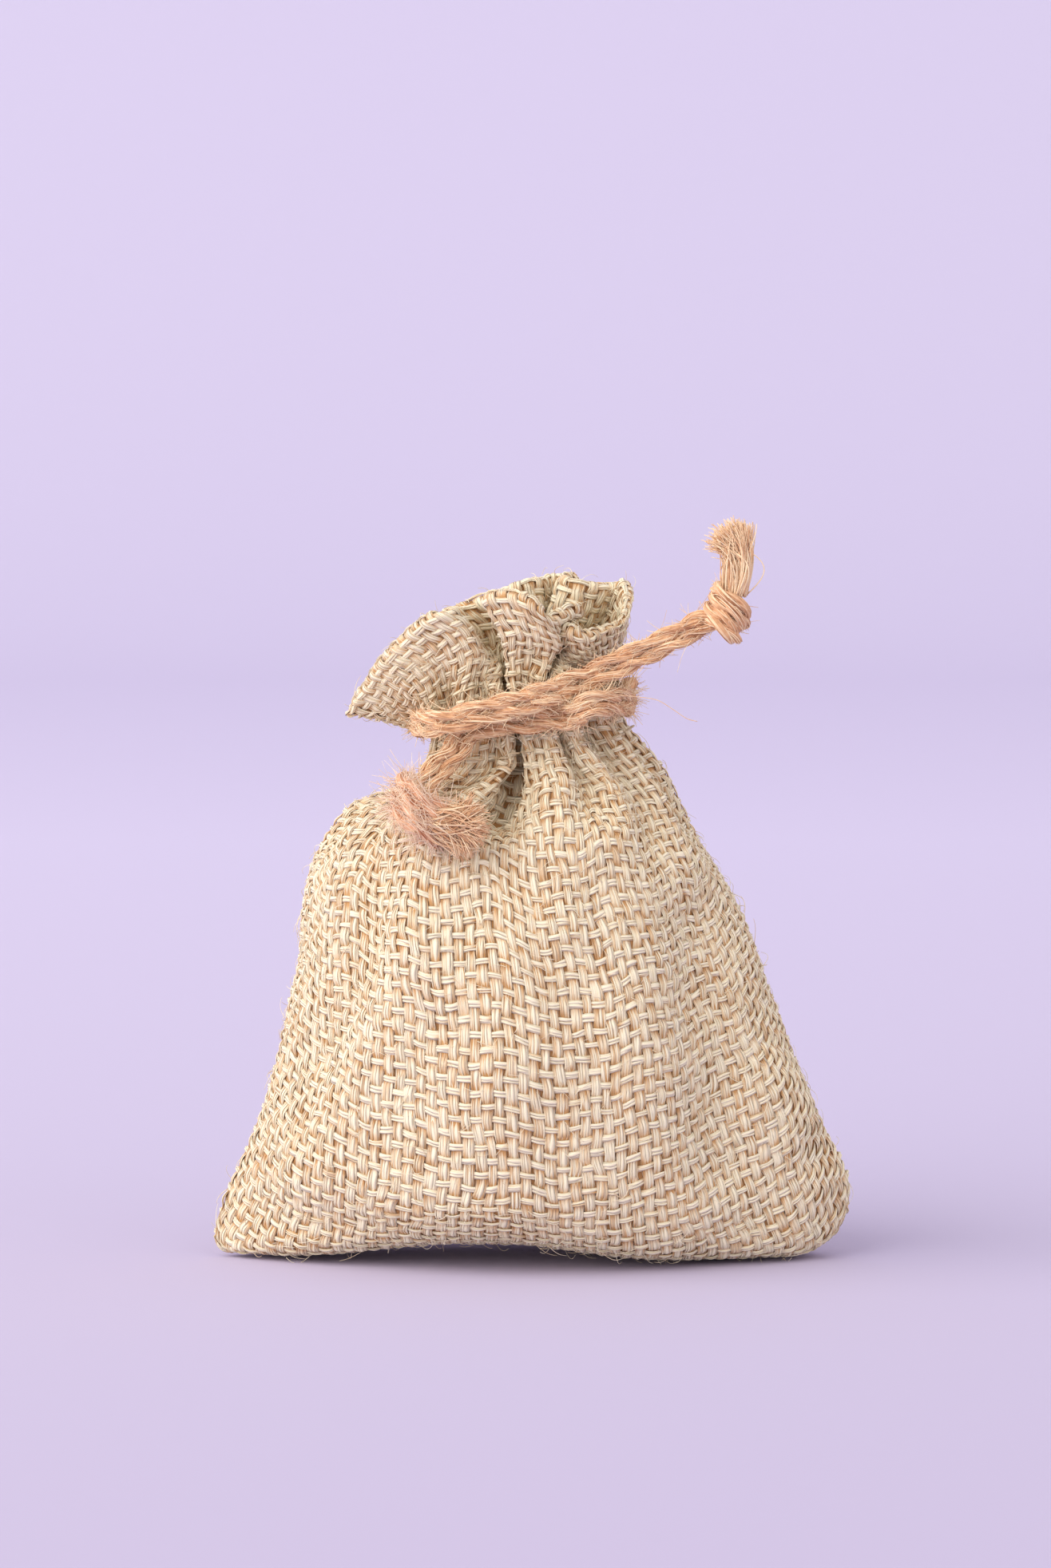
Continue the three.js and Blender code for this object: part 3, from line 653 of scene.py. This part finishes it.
def woven_cloth(grid, outer_rows, material):
    """All yarns of the cloth, and apart from them the hem's."""
    normals = grid_normals(grid)
    split = outer_rows + HEM_TURN_STEPS // 2 - 1
    outer_wefts = math.ceil(split / FINE)
    kinds = (("ribbons", RIBBON_SIDES), ("bundles", BUNDLE_SIDES))
    made, hem = [], []
    for (kind, sides), each, warps in zip(kinds, (1, len(WARP["bundles"])), warp_layers(grid, normals)):
        outer = part_of(warps, (slice(None), slice(0, split + 1)))
        inner = part_of(warps, (slice(None), slice(split, None)))
        made += yarn_pieces(f"warp_{kind}", outer, sides, False, YARN_OBJECTS * each, material)
        hem += yarn_pieces(f"hem_warp_{kind}", inner, sides, False, 1, material)
    for (kind, sides), each, wefts in zip(kinds, (1, len(WEFT["bundles"])), weft_layers(grid, normals)):
        outer = part_of(wefts, slice(0, outer_wefts * each))
        inner = part_of(wefts, slice(outer_wefts * each, None))
        made += yarn_pieces(f"weft_{kind}", outer, sides, True, YARN_OBJECTS * each, material)
        hem += yarn_pieces(f"hem_weft_{kind}", inner, sides, True, 1, material)
    return made, hem


def backing_sheet(grid, material):
    """The thin closed sheet at the middle of the weave, which fills the gaps between the yarns; its dark
    brown is painted shade, the darkness that the gaps show.
    """
    normals = grid_normals(grid)
    every = 2
    outside, inside = ((grid - normals * depth)[::every, ::every] for depth in BACKING_DEPTHS)
    loop = np.concatenate([outside, inside[::-1]])
    rows, columns = loop.shape[:2]
    index = np.arange(rows * columns).reshape(rows, columns)
    quads = quads_between(index, np.roll(index, -1, axis=0))
    return make_mesh("pouch_cloth_shade_backing", material, loop.reshape(-1, 3), quads)


def stray_fibres(grid, count, material):
    """Fine loose fibres that lie over the cloth and stand off it a little."""
    normals = grid_normals(grid)
    steps = 9
    t = np.linspace(0, 1, steps)[:, None]
    lines = []
    for _ in range(count):
        row, column = rng.integers(6, len(grid) - 6), rng.integers(0, grid.shape[1])
        along = unit(grid[row, (column + 4) % grid.shape[1]] - grid[row, column - 4])
        upward = unit(grid[row + 4] - grid[row - 4])[column]
        angle = rng.uniform(0, 2 * math.pi)
        heading = along * math.cos(angle) + upward * math.sin(angle)
        sideways = np.cross(normals[row, column], heading)
        size = rng.uniform(0.9, 3.4)
        arch = size * rng.uniform(0.05, 0.45)
        curl = size * rng.normal(0, 0.22)
        lift = 0.15 + arch * np.sin(t * math.pi * rng.uniform(0.5, 1))
        lines.append(grid[row, column] + normals[row, column] * lift + heading * size * (t - 0.3)
                     + sideways * curl * t**2)
    radii = tapered(0.055, 0.025, steps, count)
    return make_mesh("cloth_stray_fibres", material, *fibre_arrays(np.array(lines), radii, 3, 0.85, 0.12))


# ---- Sewing and filling ----------------------------------------------------------------------

def casing_stitch(name, grid, picks, material):
    """A running stitch round the cloth, picks above the strings: out over two yarns, in under two."""
    row = (BODY_PICKS + picks) * FINE
    normals = grid_normals(grid)
    columns = np.arange(grid.shape[1])
    line = grid[row] + normals[row] * (0.30 + 0.42 * np.cos(math.pi * columns / (2 * FINE)))[:, None]
    up = unit(grid[row + 2] - grid[row - 2])
    arrays = tube_arrays(line[None], up[None] * STITCH_RADIUS, normals[row][None] * STITCH_RADIUS, 6, True)
    fixed(make_mesh(name, material, *arrays), "pouch", "sewing_thread",
          name.replace("running_stitch", "casing_stitch"))


def side_seam(label, grid, column, inward, material):
    """The seam allowance inside one side: three warp yarns with the cut wefts across them."""
    rows = np.arange(2 * FINE, (BODY_PICKS - 4) * FINE)
    seam = grid[rows, column]
    offsets = SEAM_PITCH + np.arange(3 * FINE + 1) * YARN_PITCH / FINE
    strip = seam[:, None] + np.array([inward, 0.0, 0.0]) * offsets[None, :, None]
    normals = np.broadcast_to([0.0, -1.0, 0.0], strip.shape)
    chosen = np.array([2, 6, 10])
    wave = np.cos(math.pi * np.arange(len(rows)) / FINE)
    swing = YARN_RISE * np.array([1, -1, 1])[:, None] * wave[None, :]
    sideways = np.broadcast_to([1.0, 0.0, 0.0], (3, len(rows), 3))
    warps, _ = yarn_layers(strip[:, chosen].transpose(1, 0, 2), normals[:, chosen].transpose(1, 0, 2),
                           sideways, swing, np.full(swing.shape, SEAM_PITCH), WARP)
    across = np.arange(0, len(rows), FINE)
    swing = -YARN_RISE * np.cos(math.pi * (np.arange(strip.shape[1]) - 2) / FINE)[None, :]
    swing = swing * np.where(np.arange(len(across)) % 2 == 0, 1.0, -1.0)[:, None]
    upward = np.broadcast_to([0.0, 0.0, 1.0], (len(across), strip.shape[1], 3))
    wefts, _ = yarn_layers(strip[across], normals[across], upward, swing,
                           np.full(swing.shape, SEAM_PITCH), WEFT)
    for kind, yarns, nodes in (("warps", warps, [f"{label}_side_seam"]), ("wefts", wefts, [])):
        fixed(yarn_mesh(f"{label}_seam_{kind}", yarns, RIBBON_SIDES, False, material),
              "pouch", "burlap_inside", *nodes)


def filling(material):
    """A lumpy wad of fibre that holds the belly out."""
    heights = np.array([3.5, 5, 8, 12, 17, 22, 27, 32, 37, 42, 45, 47.5, 49])
    shrink = np.array([0.5, 0.8, 0.92, 0.98, 1, 1, 1, 1, 0.97, 0.88, 0.74, 0.52, 0.3])
    angle = 2 * math.pi * np.arange(64) / 64
    rings = []
    for z, size in zip(heights, shrink):
        left, right, depth = (np.interp(z, STATIONS[:, 4], STATIONS[:, k]) for k in (0, 2, 5))
        half, deep = (right - left) / 2 - 11, depth * 0.8 - 2.8
        rings.append(np.stack([(left + right) / 2 + half * size * np.cos(angle), deep * size * np.sin(angle),
                               np.full(64, z)], axis=1))
    rings = np.array(rings)
    lumps = 1 + wavy(len(rings), 64, 8) * 0.05
    lumps[:, -8:] = lumps[:, :1]
    middle = rings.mean(axis=1, keepdims=True)
    rings = middle + (rings - middle) * lumps[:, :, None]
    count, sides = rings.shape[:2]
    index = np.arange(count * sides).reshape(count, sides)
    quads = quads_between(index[:-1], index[1:])
    points = np.vstack([rings.reshape(-1, 3), middle[0], middle[-1]])
    bottom = np.stack([np.full(sides, len(points) - 2), np.roll(index[0], -1), index[0]], axis=1)
    top = np.stack([np.full(sides, len(points) - 1), index[-1], np.roll(index[-1], -1)], axis=1)
    obj = make_mesh("filling_fibre_wad", material, points, quads, np.vstack([bottom, top]))
    fixed(obj, "pouch", "wadding", "filling_wad")


# ---- Strings ---------------------------------------------------------------------------------

def frames_along(line):
    """Two square directions at each point of a line that don't turn about it."""
    ahead = unit(np.gradient(line, axis=0))
    first = np.cross(ahead[0], [0.31, 0.2, 0.93])
    one = np.zeros_like(line)
    one[0] = first / np.linalg.norm(first)
    for k in range(1, len(line)):
        moved = one[k - 1] - ahead[k] * np.dot(one[k - 1], ahead[k])
        one[k] = moved / np.linalg.norm(moved)
    return one, np.cross(ahead, one)


def round_tube(lines, radii, sides):
    """Arrays of a tube for each line; lines is tubes x steps x 3, radii tubes x steps."""
    wide, thick = np.zeros_like(lines), np.zeros_like(lines)
    for k, line in enumerate(lines):
        wide[k], thick[k] = frames_along(line)
    return tube_arrays(lines, wide * radii[:, :, None], thick * radii[:, :, None], sides, False)


def beside_middle(middle, side):
    """The route of one strand of a pair: the pair's middle, moved square to it in the front view."""
    middle = np.array(middle, float)
    moved = []
    for k, point in enumerate(middle):
        along = middle[min(len(middle) - 1, k + 1)] - middle[max(0, k - 1)]
        across = np.cross(along, [0, 1, 0])
        across[1] = 0
        steep = abs(along[1]) > 0.8 * np.linalg.norm(along)
        shift = np.array([0, 0, 1.0]) if steep else across / np.linalg.norm(across)
        moved.append(point + shift * (PAIR / 2) * (-side if shift[2] < 0 else side))
    return moved


def wrap_route(middle, edge_x, loop_z, side, level):
    """One strand from the gap in the side seam to where it goes under the other pair."""
    start = (edge_x + side * 0.1, level * PAIR / 2, loop_z)
    if level > 0:
        corner = [(edge_x + side * 1.3, 0.4, loop_z + 1.2), (edge_x + side * 1.4, -2.0, loop_z + 1.5)]
    else:
        corner = [(edge_x + side * 1.2, -2.2, loop_z - 0.4)]
    return smooth_line([start, *corner, *beside_middle(middle, level)], 12)


def joined(*mesh_arrays):
    """Several (points, quads, triangles, floats) as one."""
    points, quads, triangles, floats = [], [], [], {}
    shift = 0
    for new_points, new_quads, new_triangles, new_floats in mesh_arrays:
        points.append(new_points)
        quads.append(np.asarray(new_quads).reshape(-1, 4) + shift)
        triangles.append(np.asarray(new_triangles).reshape(-1, 3) + shift)
        for key, values in new_floats.items():
            floats.setdefault(key, []).append(values)
        shift += len(new_points)
    return (np.vstack(points), np.vstack(quads), np.vstack(triangles),
            {key: np.concatenate(values) for key, values in floats.items()})


def fibre_arrays(lines, radii, sides, tone, spread):
    """Fibres with a tone each; lines is fibres x steps x 3."""
    points, quads, triangles = round_tube(lines, radii, sides)
    count, steps = lines.shape[:2]
    shade = np.clip(tone + rng.normal(0, spread, (count, 1)) + wavy(count, steps, 6) * 0.2, 0, 1)
    run = np.broadcast_to(np.arange(steps) * 0.4, (count, steps))
    key = np.broadcast_to(rng.uniform(0, 100, (count, 1)), (count, steps))
    floats = {"shade": ring_values(shade, sides, False), "run": ring_values(run, sides, False),
              "yarn": ring_values(key, sides, False)}
    floats["spin"] = np.zeros(len(points))
    floats["dip"] = np.zeros(len(points))
    return points, quads, triangles, floats


def strand_arrays(line, turn_start, fibres=FIBRES, thickness=1.0):
    """One strand of twine: two plies twisted together, each a core with long fibres on it."""
    line = even_line(line, 0.42)
    steps = len(line)
    one, two = frames_along(line)
    run = line_lengths(line)
    parts = []
    for ply in range(2):
        angle = 2 * math.pi * run / PLY_TURN + turn_start + math.pi * ply + wavy(1, steps, 12)[0] * 0.5
        out = one * np.cos(angle)[:, None] + two * np.sin(angle)[:, None]
        middle = line + out * PLY_OFFSET * thickness
        # The core is darker than its fibres so that the gaps between them read dark: painted shade between
        # the fibres.
        core_radius = np.full((1, steps), (PLY_RADIUS - 0.05) * thickness)
        parts.append(fibre_arrays(middle[None], core_radius, 8, 0.3, 0.02))
        start = rng.uniform(0, 2 * math.pi)
        around = start + 2 * math.pi * np.arange(fibres) / fibres + rng.normal(0, 0.16, fibres)
        drift = wavy(fibres, steps, 9) * 1.1 + (run * 0.16)[None, :]
        turned = around[:, None] + drift
        lift = PLY_RADIUS * thickness * (1 + wavy(fibres, steps, 10) * 0.15) - 0.03
        off = one[None] * np.cos(turned)[:, :, None] + two[None] * np.sin(turned)[:, :, None]
        lines = middle[None] + off * lift[:, :, None]
        radii = (0.085 + 0.04 * wavy(fibres, steps, 8)) * np.ones((fibres, steps))
        parts.append(fibre_arrays(lines, radii, 4, 0.58, 0.26))
    return joined(*parts)


def tapered(root, tip, steps, count, thickest=1.2):
    """Radii of fibres that taper from root to tip, each a little thicker or thinner."""
    return np.linspace(root, tip, steps)[None, :] * rng.uniform(0.7, thickest, (count, 1))


def hair_arrays(line, count, length, reach, tone=0.85):
    """Fine stray fibres that stand off a strand."""
    line = even_line(line, 0.3)
    one, two = frames_along(line)
    ahead = unit(np.gradient(line, axis=0))
    steps = 9
    t = np.linspace(0, 1, steps)[:, None]
    lines = []
    for _ in range(count):
        k = rng.integers(0, len(line))
        angle = rng.uniform(0, 2 * math.pi)
        out = one[k] * math.cos(angle) + two[k] * math.sin(angle)
        size = length * rng.uniform(0.35, 1.0)
        lean = ahead[k] * rng.choice([-1, 1]) * rng.uniform(0.4, 1.0)
        bend = rng.normal(0, 0.5, 3)
        height = min(reach, size * rng.uniform(0.25, 0.8))
        lines.append(line[k] + out * 0.6 + lean * size * t + out * height * t ** 1.5
                     + bend * size * 0.4 * t**2)
    radii = tapered(0.065, 0.03, steps, count)
    return fibre_arrays(np.array(lines), radii, 3, tone, 0.18)


def knot_arrays(ends, width, turns, tilt, entry, hairs):
    """Turns of a doubled strand wound about its own end, pulled tight."""
    start, end = np.array(ends[0], float), np.array(ends[1], float)
    axis = unit(end - start)
    length = np.linalg.norm(end - start)
    side = unit(np.cross(axis, [0.0, 1.0, 0.0]))
    front = np.cross(side, axis)
    parts = []
    for strand in range(2):
        t = np.linspace(0, 1, 90)
        angle = entry + 2 * math.pi * turns * t
        swell = np.sin(math.pi * np.clip(t * 0.86 + 0.12, 0, 1)) ** 0.45
        radius = width * (0.32 + 0.68 * swell)
        along = length * (0.16 + 0.56 * t) + (strand - 0.5) * 1.35
        along = along + tilt * np.cos(angle + 0.4) * swell
        line = (start + axis * along[:, None] + side * (radius * np.cos(angle))[:, None]
                + front * (radius * np.sin(angle))[:, None])
        parts.append(strand_arrays(line, strand * 1.3, 12, 0.92))
        parts.append(hair_arrays(line, *hairs))
    # The knot's core is dark for the same reason: painted shade in the gaps between its turns.
    core = even_line(np.array([start + axis * length * 0.2, start + axis * length * 0.74]), 0.4)
    swell = np.sin(math.pi * np.linspace(0.12, 0.88, len(core))) ** 0.5
    parts.append(fibre_arrays(core[None], (swell * width * 0.72)[None], 12, 0.3, 0))
    return joined(*parts)


def tassel_arrays(start, bend, tips, root_radius, count, wave, tone):
    """Loose fibres that leave a knot towards bend and end at tips spread along a line."""
    start = np.array(start, float)
    tips = smooth_line(tips, 12)
    steps = 16
    t = np.linspace(0, 1, steps)[:, None]
    lines = []
    for _ in range(count):
        place = rng.uniform(0, 1)
        tip = at_lengths(tips, [place * line_lengths(tips)[-1]])[0] + rng.normal(0, 0.45, 3)
        angle, radius = rng.uniform(0, 2 * math.pi), root_radius * math.sqrt(rng.uniform(0, 1))
        heading = unit(tip - start)
        one = unit(np.cross(heading, [0.1, 1.0, 0.2]))
        two = np.cross(heading, one)
        out = one * math.cos(angle) + two * math.sin(angle)
        base = start + out * radius
        reach = rng.uniform(0.86, 1.03)
        bowed = base + np.array(bend) * 2 * t * (1 - t) + (tip - base) * t**2
        curl = out * np.sin(t * math.pi * rng.uniform(0.6, 1.6)) * wave
        lines.append(base + (bowed - base) * reach + curl * rng.normal(0, 1))
    radii = tapered(0.12, 0.05, steps, count, 1.25)
    return fibre_arrays(np.array(lines), radii, 4, tone, 0.2)


def stretch_before(ahead_of):
    """The last TUCK of the route ahead_of, which the next strand repeats so that it hides in it."""
    total = line_lengths(ahead_of)[-1]
    return at_lengths(ahead_of, np.linspace(total - TUCK, total - 0.3, 8))


def over_hinge(obj):
    """Bakes a piece's placement into its mesh; it stays where it is made."""
    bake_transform(obj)


def free_strand(letter, label, level, wrap, root, tail, inside_knot, material):
    """A strand's free end: out from under the wrap, over the hinge and through the knot."""
    middle = [*beside_middle(root, level), *beside_middle(tail, level)]
    tucked = stretch_before(wrap)
    route = smooth_line([*tucked[::3], *middle, *inside_knot], 10)
    obj = make_mesh(f"drawstring_{letter}_free_strand_{label}", material,
                    *joined(strand_arrays(route, level), hair_arrays(route, *FREE_HAIRS)))
    over_hinge(obj)
    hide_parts(f"drawstring_{letter}_root_{label}", f"drawstring_{letter}_tail_{label}")
    hairs = make_mesh(f"drawstring_{letter}_long_hairs_{label}", material,
                      *hair_arrays(route, *LONG_HAIRS))
    over_hinge(hairs)
    return obj, route


def string_end(letter, knot, tassel):
    """The knot and the tassel that swing with a string's end."""
    for obj, label in ((knot, "knot"), (tassel, "tassel")):
        fixed(obj, f"drawstring_{letter}_end", "jute_string", f"drawstring_{letter}_{label}")


def casing_loop(letter, loop_z, side, material):
    """The hidden part of a string: in at one side seam, round the neck inside the channel and out again."""
    angle = np.linspace(0.10, 1.90, 46) * math.pi
    half, depth = (RIGHT_EDGE_X - LEFT_EDGE_X) / 2 - 4.4, 10.6 - 4.4
    middle_x = (RIGHT_EDGE_X + LEFT_EDGE_X) / 2
    lap = [(middle_x + side * half * math.cos(a), -depth * math.sin(a), loop_z) for a in angle]
    edge_x = LEFT_EDGE_X if side < 0 else RIGHT_EDGE_X
    mouths = [(edge_x - side * 0.8, level * PAIR / 2, loop_z) for level in (-1, 1)]
    obj = make_mesh(f"drawstring_{letter}_casing_strand", material,
                    *strand_arrays(smooth_line([mouths[0], *lap, mouths[1]], 4), 0))
    fixed(obj, "pouch", "jute_string", f"drawstring_{letter}_casing_loop")


def drawstring(letter, wrap, root, tail, inside_knot, knot_obj, tassel_obj, side, loop_z, material):
    """One string: its loop round the neck, its two strands in front and its two free ends."""
    edge_x = LEFT_EDGE_X if side < 0 else RIGHT_EDGE_X
    casing_loop(letter, loop_z, side, material)
    string_end(letter, knot_obj, tassel_obj)
    for label, level in (("upper", 1), ("lower", -1)):
        route = wrap_route(wrap, edge_x, loop_z, side, level)
        obj = make_mesh(f"drawstring_{letter}_wrap_strand_{label}", material,
                        *joined(strand_arrays(route, level), hair_arrays(route, *WRAP_HAIRS)))
        fixed(obj, "pouch", "jute_string", f"drawstring_{letter}_wrap_{label}")
        free, line = free_strand(letter, label, level, route, root, tail, inside_knot, material)


def loose_hair(material):
    """One long stray fibre that springs from the band on the right."""
    route = smooth_line(LOOSE_HAIR, 6)
    radii = np.full((1, len(route)), 0.05)
    obj = make_mesh("drawstring_b_loose_hair", material, *fibre_arrays(route[None], radii, 4, 0.7, 0.0))
    fixed(obj, "pouch", "jute_string")


def both_strings(material, fluffy):
    """Both drawstrings. String B's knot is frayed, so it has the fluffy material."""
    knot_a = make_mesh("drawstring_a_tied_knot", material, *knot_arrays(*KNOT_A))
    tassel_a = make_mesh("drawstring_a_frayed_end", material, *tassel_arrays(*TASSEL_A))
    knot_b = make_mesh("drawstring_b_tied_knot", fluffy, *knot_arrays(*KNOT_B))
    tassel_b = make_mesh("drawstring_b_frayed_end", material, *tassel_arrays(*TASSEL_B))
    drawstring("a", WRAP_A, ROOT_A, TAIL_A, INSIDE_KNOT_A, knot_a, tassel_a, -1, LOOP_A_Z, material)
    drawstring("b", WRAP_B, ROOT_B, TAIL_B, INSIDE_KNOT_B, knot_b, tassel_b, 1, LOOP_B_Z, material)


# ---- Materials -------------------------------------------------------------------------------

def new_material(name):
    material = bpy.data.materials.new(name)
    material.use_nodes = True
    tree = material.node_tree
    shader = tree.nodes["Principled BSDF"]
    return material, tree, shader


def set_inputs(node, values):
    for key, value in values.items():
        node.inputs[key].default_value = value


def attribute_value(tree, key):
    node = tree.nodes.new("ShaderNodeAttribute")
    node.attribute_name = key
    return node.outputs["Fac"]


def math_node(tree, operation, a, b):
    node = tree.nodes.new("ShaderNodeMath")
    node.operation = operation
    for socket, value in zip(node.inputs, (a, b)):
        if isinstance(value, (int, float)):
            socket.default_value = value
        else:
            tree.links.new(value, socket)
    return node.outputs[0]


def colour_ramp(tree, factor, stops):
    node = tree.nodes.new("ShaderNodeValToRGB")
    tree.links.new(factor, node.inputs[0])
    ramp = node.color_ramp
    while len(ramp.elements) < len(stops):
        ramp.elements.new(0.5)
    for element, (position, colour) in zip(ramp.elements, stops):
        element.position = position
        element.color = (*colour, 1)
    return node.outputs[0]


def streaks(tree, along, around, key, along_scale, around_scale):
    """Noise stretched along a yarn, so that it looks like fibres."""
    combine = tree.nodes.new("ShaderNodeCombineXYZ")
    tree.links.new(math_node(tree, "MULTIPLY", along, along_scale), combine.inputs[0])
    tree.links.new(math_node(tree, "MULTIPLY", around, around_scale), combine.inputs[1])
    tree.links.new(key, combine.inputs[2])
    noise = tree.nodes.new("ShaderNodeTexNoise")
    set_inputs(noise, {"Scale": 1.0, "Detail": 3.0})
    tree.links.new(combine.outputs[0], noise.inputs["Vector"])
    return noise.outputs["Fac"]


def add_bump(tree, shader, height, strength, distance):
    bump = tree.nodes.new("ShaderNodeBump")
    set_inputs(bump, {"Strength": strength, "Distance": distance})
    tree.links.new(height, bump.inputs["Height"])
    tree.links.new(bump.outputs[0], shader.inputs["Normal"])


def yarn_material(name, dark, middle, light):
    """Flat straw-coloured yarn: fibre streaks, a tone for each stretch, and painted light from the dip
    attribute: a painted highlight where the yarn rises over a crossing, painted shade where it dips under.
    """
    material, tree, shader = new_material(name)
    fibre = streaks(tree, attribute_value(tree, "run"), attribute_value(tree, "spin"),
                    attribute_value(tree, "yarn"), 0.9, 9.0)
    shade = attribute_value(tree, "shade")
    dip = attribute_value(tree, "dip")
    tone = math_node(tree, "ADD", math_node(tree, "MULTIPLY", fibre, 0.75),
                     math_node(tree, "MULTIPLY", shade, 0.6))
    # Painted light: lighter on the floats that rise over a crossing (painted highlight), darker where the
    # yarn dips under (painted shade).
    tone = math_node(tree, "ADD", tone, math_node(tree, "MULTIPLY", dip, 0.24))
    tone = math_node(tree, "SUBTRACT", tone, 0.16)
    colour = colour_ramp(tree, tone, [(0.18, dark), (0.45, middle), (0.8, light)])
    tree.links.new(colour, shader.inputs["Base Color"])
    set_inputs(shader, {"Roughness": 0.85, "Specular IOR Level": 0.25, "Sheen Weight": 0.25})
    add_bump(tree, shader, fibre, 0.5, 0.00012)
    return material


def plain_material(name, colour, roughness):
    material, tree, shader = new_material(name)
    noise = tree.nodes.new("ShaderNodeTexNoise")
    set_inputs(noise, {"Scale": 900, "Detail": 4})
    coordinates = tree.nodes.new("ShaderNodeTexCoord")
    tree.links.new(coordinates.outputs["Object"], noise.inputs["Vector"])
    darker = tuple(0.6 * c for c in colour)
    tree.links.new(colour_ramp(tree, noise.outputs["Fac"], [(0.3, darker), (0.7, colour)]),
                   shader.inputs["Base Color"])
    shader.inputs["Roughness"].default_value = roughness
    return material


# ---- Set, camera and lights ------------------------------------------------------------------

def set_camera():
    """Long lens, slightly above the pouch; the frame is 207 mm tall at the pouch."""
    distance, elevation = 0.95, math.radians(4.5)
    aim = np.array([-0.0006, 0.0, 0.0630])
    bpy.context.scene.view_settings.view_transform = "Standard"
    camera = bpy.data.cameras.new("camera")
    camera.sensor_fit = "VERTICAL"
    camera.sensor_height = 36
    camera.lens = 36 * distance / 0.2074
    obj = bpy.data.objects.new("camera", camera)
    obj.location = aim + distance * np.array([0, -math.cos(elevation), math.sin(elevation)])
    obj.rotation_euler = (math.pi / 2 - elevation, 0, 0)
    bpy.context.scene.collection.objects.link(obj)
    bpy.context.scene.camera = obj


def area_light(name, place, target, size, power, colour):
    light = bpy.data.lights.new(name, "AREA")
    light.shape = "DISK"
    light.size = size
    light.energy = power
    light.color = colour
    obj = bpy.data.objects.new(name, light)
    obj.location = place
    direction = np.array(target) - np.array(place)
    tilt = math.acos(-direction[2] / np.linalg.norm(direction))
    obj.rotation_euler = (tilt, 0, math.atan2(direction[1], direction[0]) - math.pi / 2)
    bpy.context.scene.collection.objects.link(obj)


def paper_material():
    """Lavender paper, darker where it lies flat towards the camera: painted shade on the floor, the same
    paper as the wall.
    """
    material, tree, shader = new_material("lavender_paper")
    coordinates = tree.nodes.new("ShaderNodeTexCoord")
    separate = tree.nodes.new("ShaderNodeSeparateXYZ")
    tree.links.new(coordinates.outputs["Object"], separate.inputs[0])
    depth = math_node(tree, "ADD", math_node(tree, "MULTIPLY", separate.outputs["Y"], 0.7), 0.5)
    # The floor end of this ramp is darker than the wall end: painted shade.
    tree.links.new(colour_ramp(tree, depth, [(0.3, (0.525, 0.47, 0.635)), (0.95, (0.70, 0.645, 0.84))]),
                   shader.inputs["Base Color"])
    set_inputs(shader, {"Roughness": 0.95, "Specular IOR Level": 0.1})
    return material


def set_stage():
    """A seamless lavender sweep: floor, curve and wall."""
    front, back, height, radius, half = -6.0, 1.9, 3.0, 0.7, 6.0
    profile = [(front, 0.0)]
    for step in range(25):
        angle = math.pi / 2 * step / 24
        profile.append((back - radius + radius * math.sin(angle), radius - radius * math.cos(angle)))
    profile.append((back, height))
    points = [(x, y, z) for y, z in profile for x in (-half, half)]
    quads = [(2 * k, 2 * k + 1, 2 * k + 3, 2 * k + 2) for k in range(len(profile) - 1)]
    make_mesh("paper_sweep", paper_material(), np.array(points) / MM, quads)


def set_lights():
    """A big soft key from the upper left, a weak fill from the right and an even room."""
    world = bpy.data.worlds.new("soft_room")
    world.use_nodes = True
    background = world.node_tree.nodes["Background"]
    set_inputs(background, {"Color": (1.0, 0.97, 0.98, 1), "Strength": 0.87})
    bpy.context.scene.world = world
    area_light("key", (-1.17, -0.75, 0.8), (0, 0, 0.04), 2.4, 29, (1.0, 0.97, 0.92))
    area_light("fill", (0.9, -0.9, 0.5), (0, 0, 0.04), 0.9, 0.8, (0.96, 0.94, 1.0))


# ---- Assembly --------------------------------------------------------------------------------

set_camera()
set_stage()
set_lights()

straw = yarn_material("burlap_yarn", *STRAW)
# The dark brown sheet that fills the gaps between the yarns is painted shade.
gap_shade_material = plain_material("burlap_painted_gap_shade", GAP_SHADE_BROWN, 0.95)

grid, outer_rows = cloth_grid()
backing = backing_sheet(grid, gap_shade_material)
yarns, hem = woven_cloth(grid, outer_rows, straw)
for piece in [backing, *yarns, stray_fibres(grid, STRAY_FIBRES, straw)]:
    fixed(piece, "pouch", "burlap_cloth")
for piece in hem:
    fixed(piece, "pouch", "burlap_inside")
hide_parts("front_panel", "back_panel")
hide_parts("hem_facing")

thread = plain_material("cotton_thread", THREAD_COLOUR, 0.8)
casing_stitch("running_stitch_lower", grid, -3, thread)
casing_stitch("running_stitch_upper", grid, 3, thread)
side_seam("left", grid, 0, 1.0, straw)
side_seam("right", grid, FACE_YARNS * FINE, -1.0, straw)
filling(plain_material("white_wadding", WADDING_WHITE, 1.0))

jute = yarn_material("jute_twine", *JUTE)
fluff = yarn_material("jute_fluff", *FLUFF)
both_strings(jute, fluff)
loose_hair(jute)
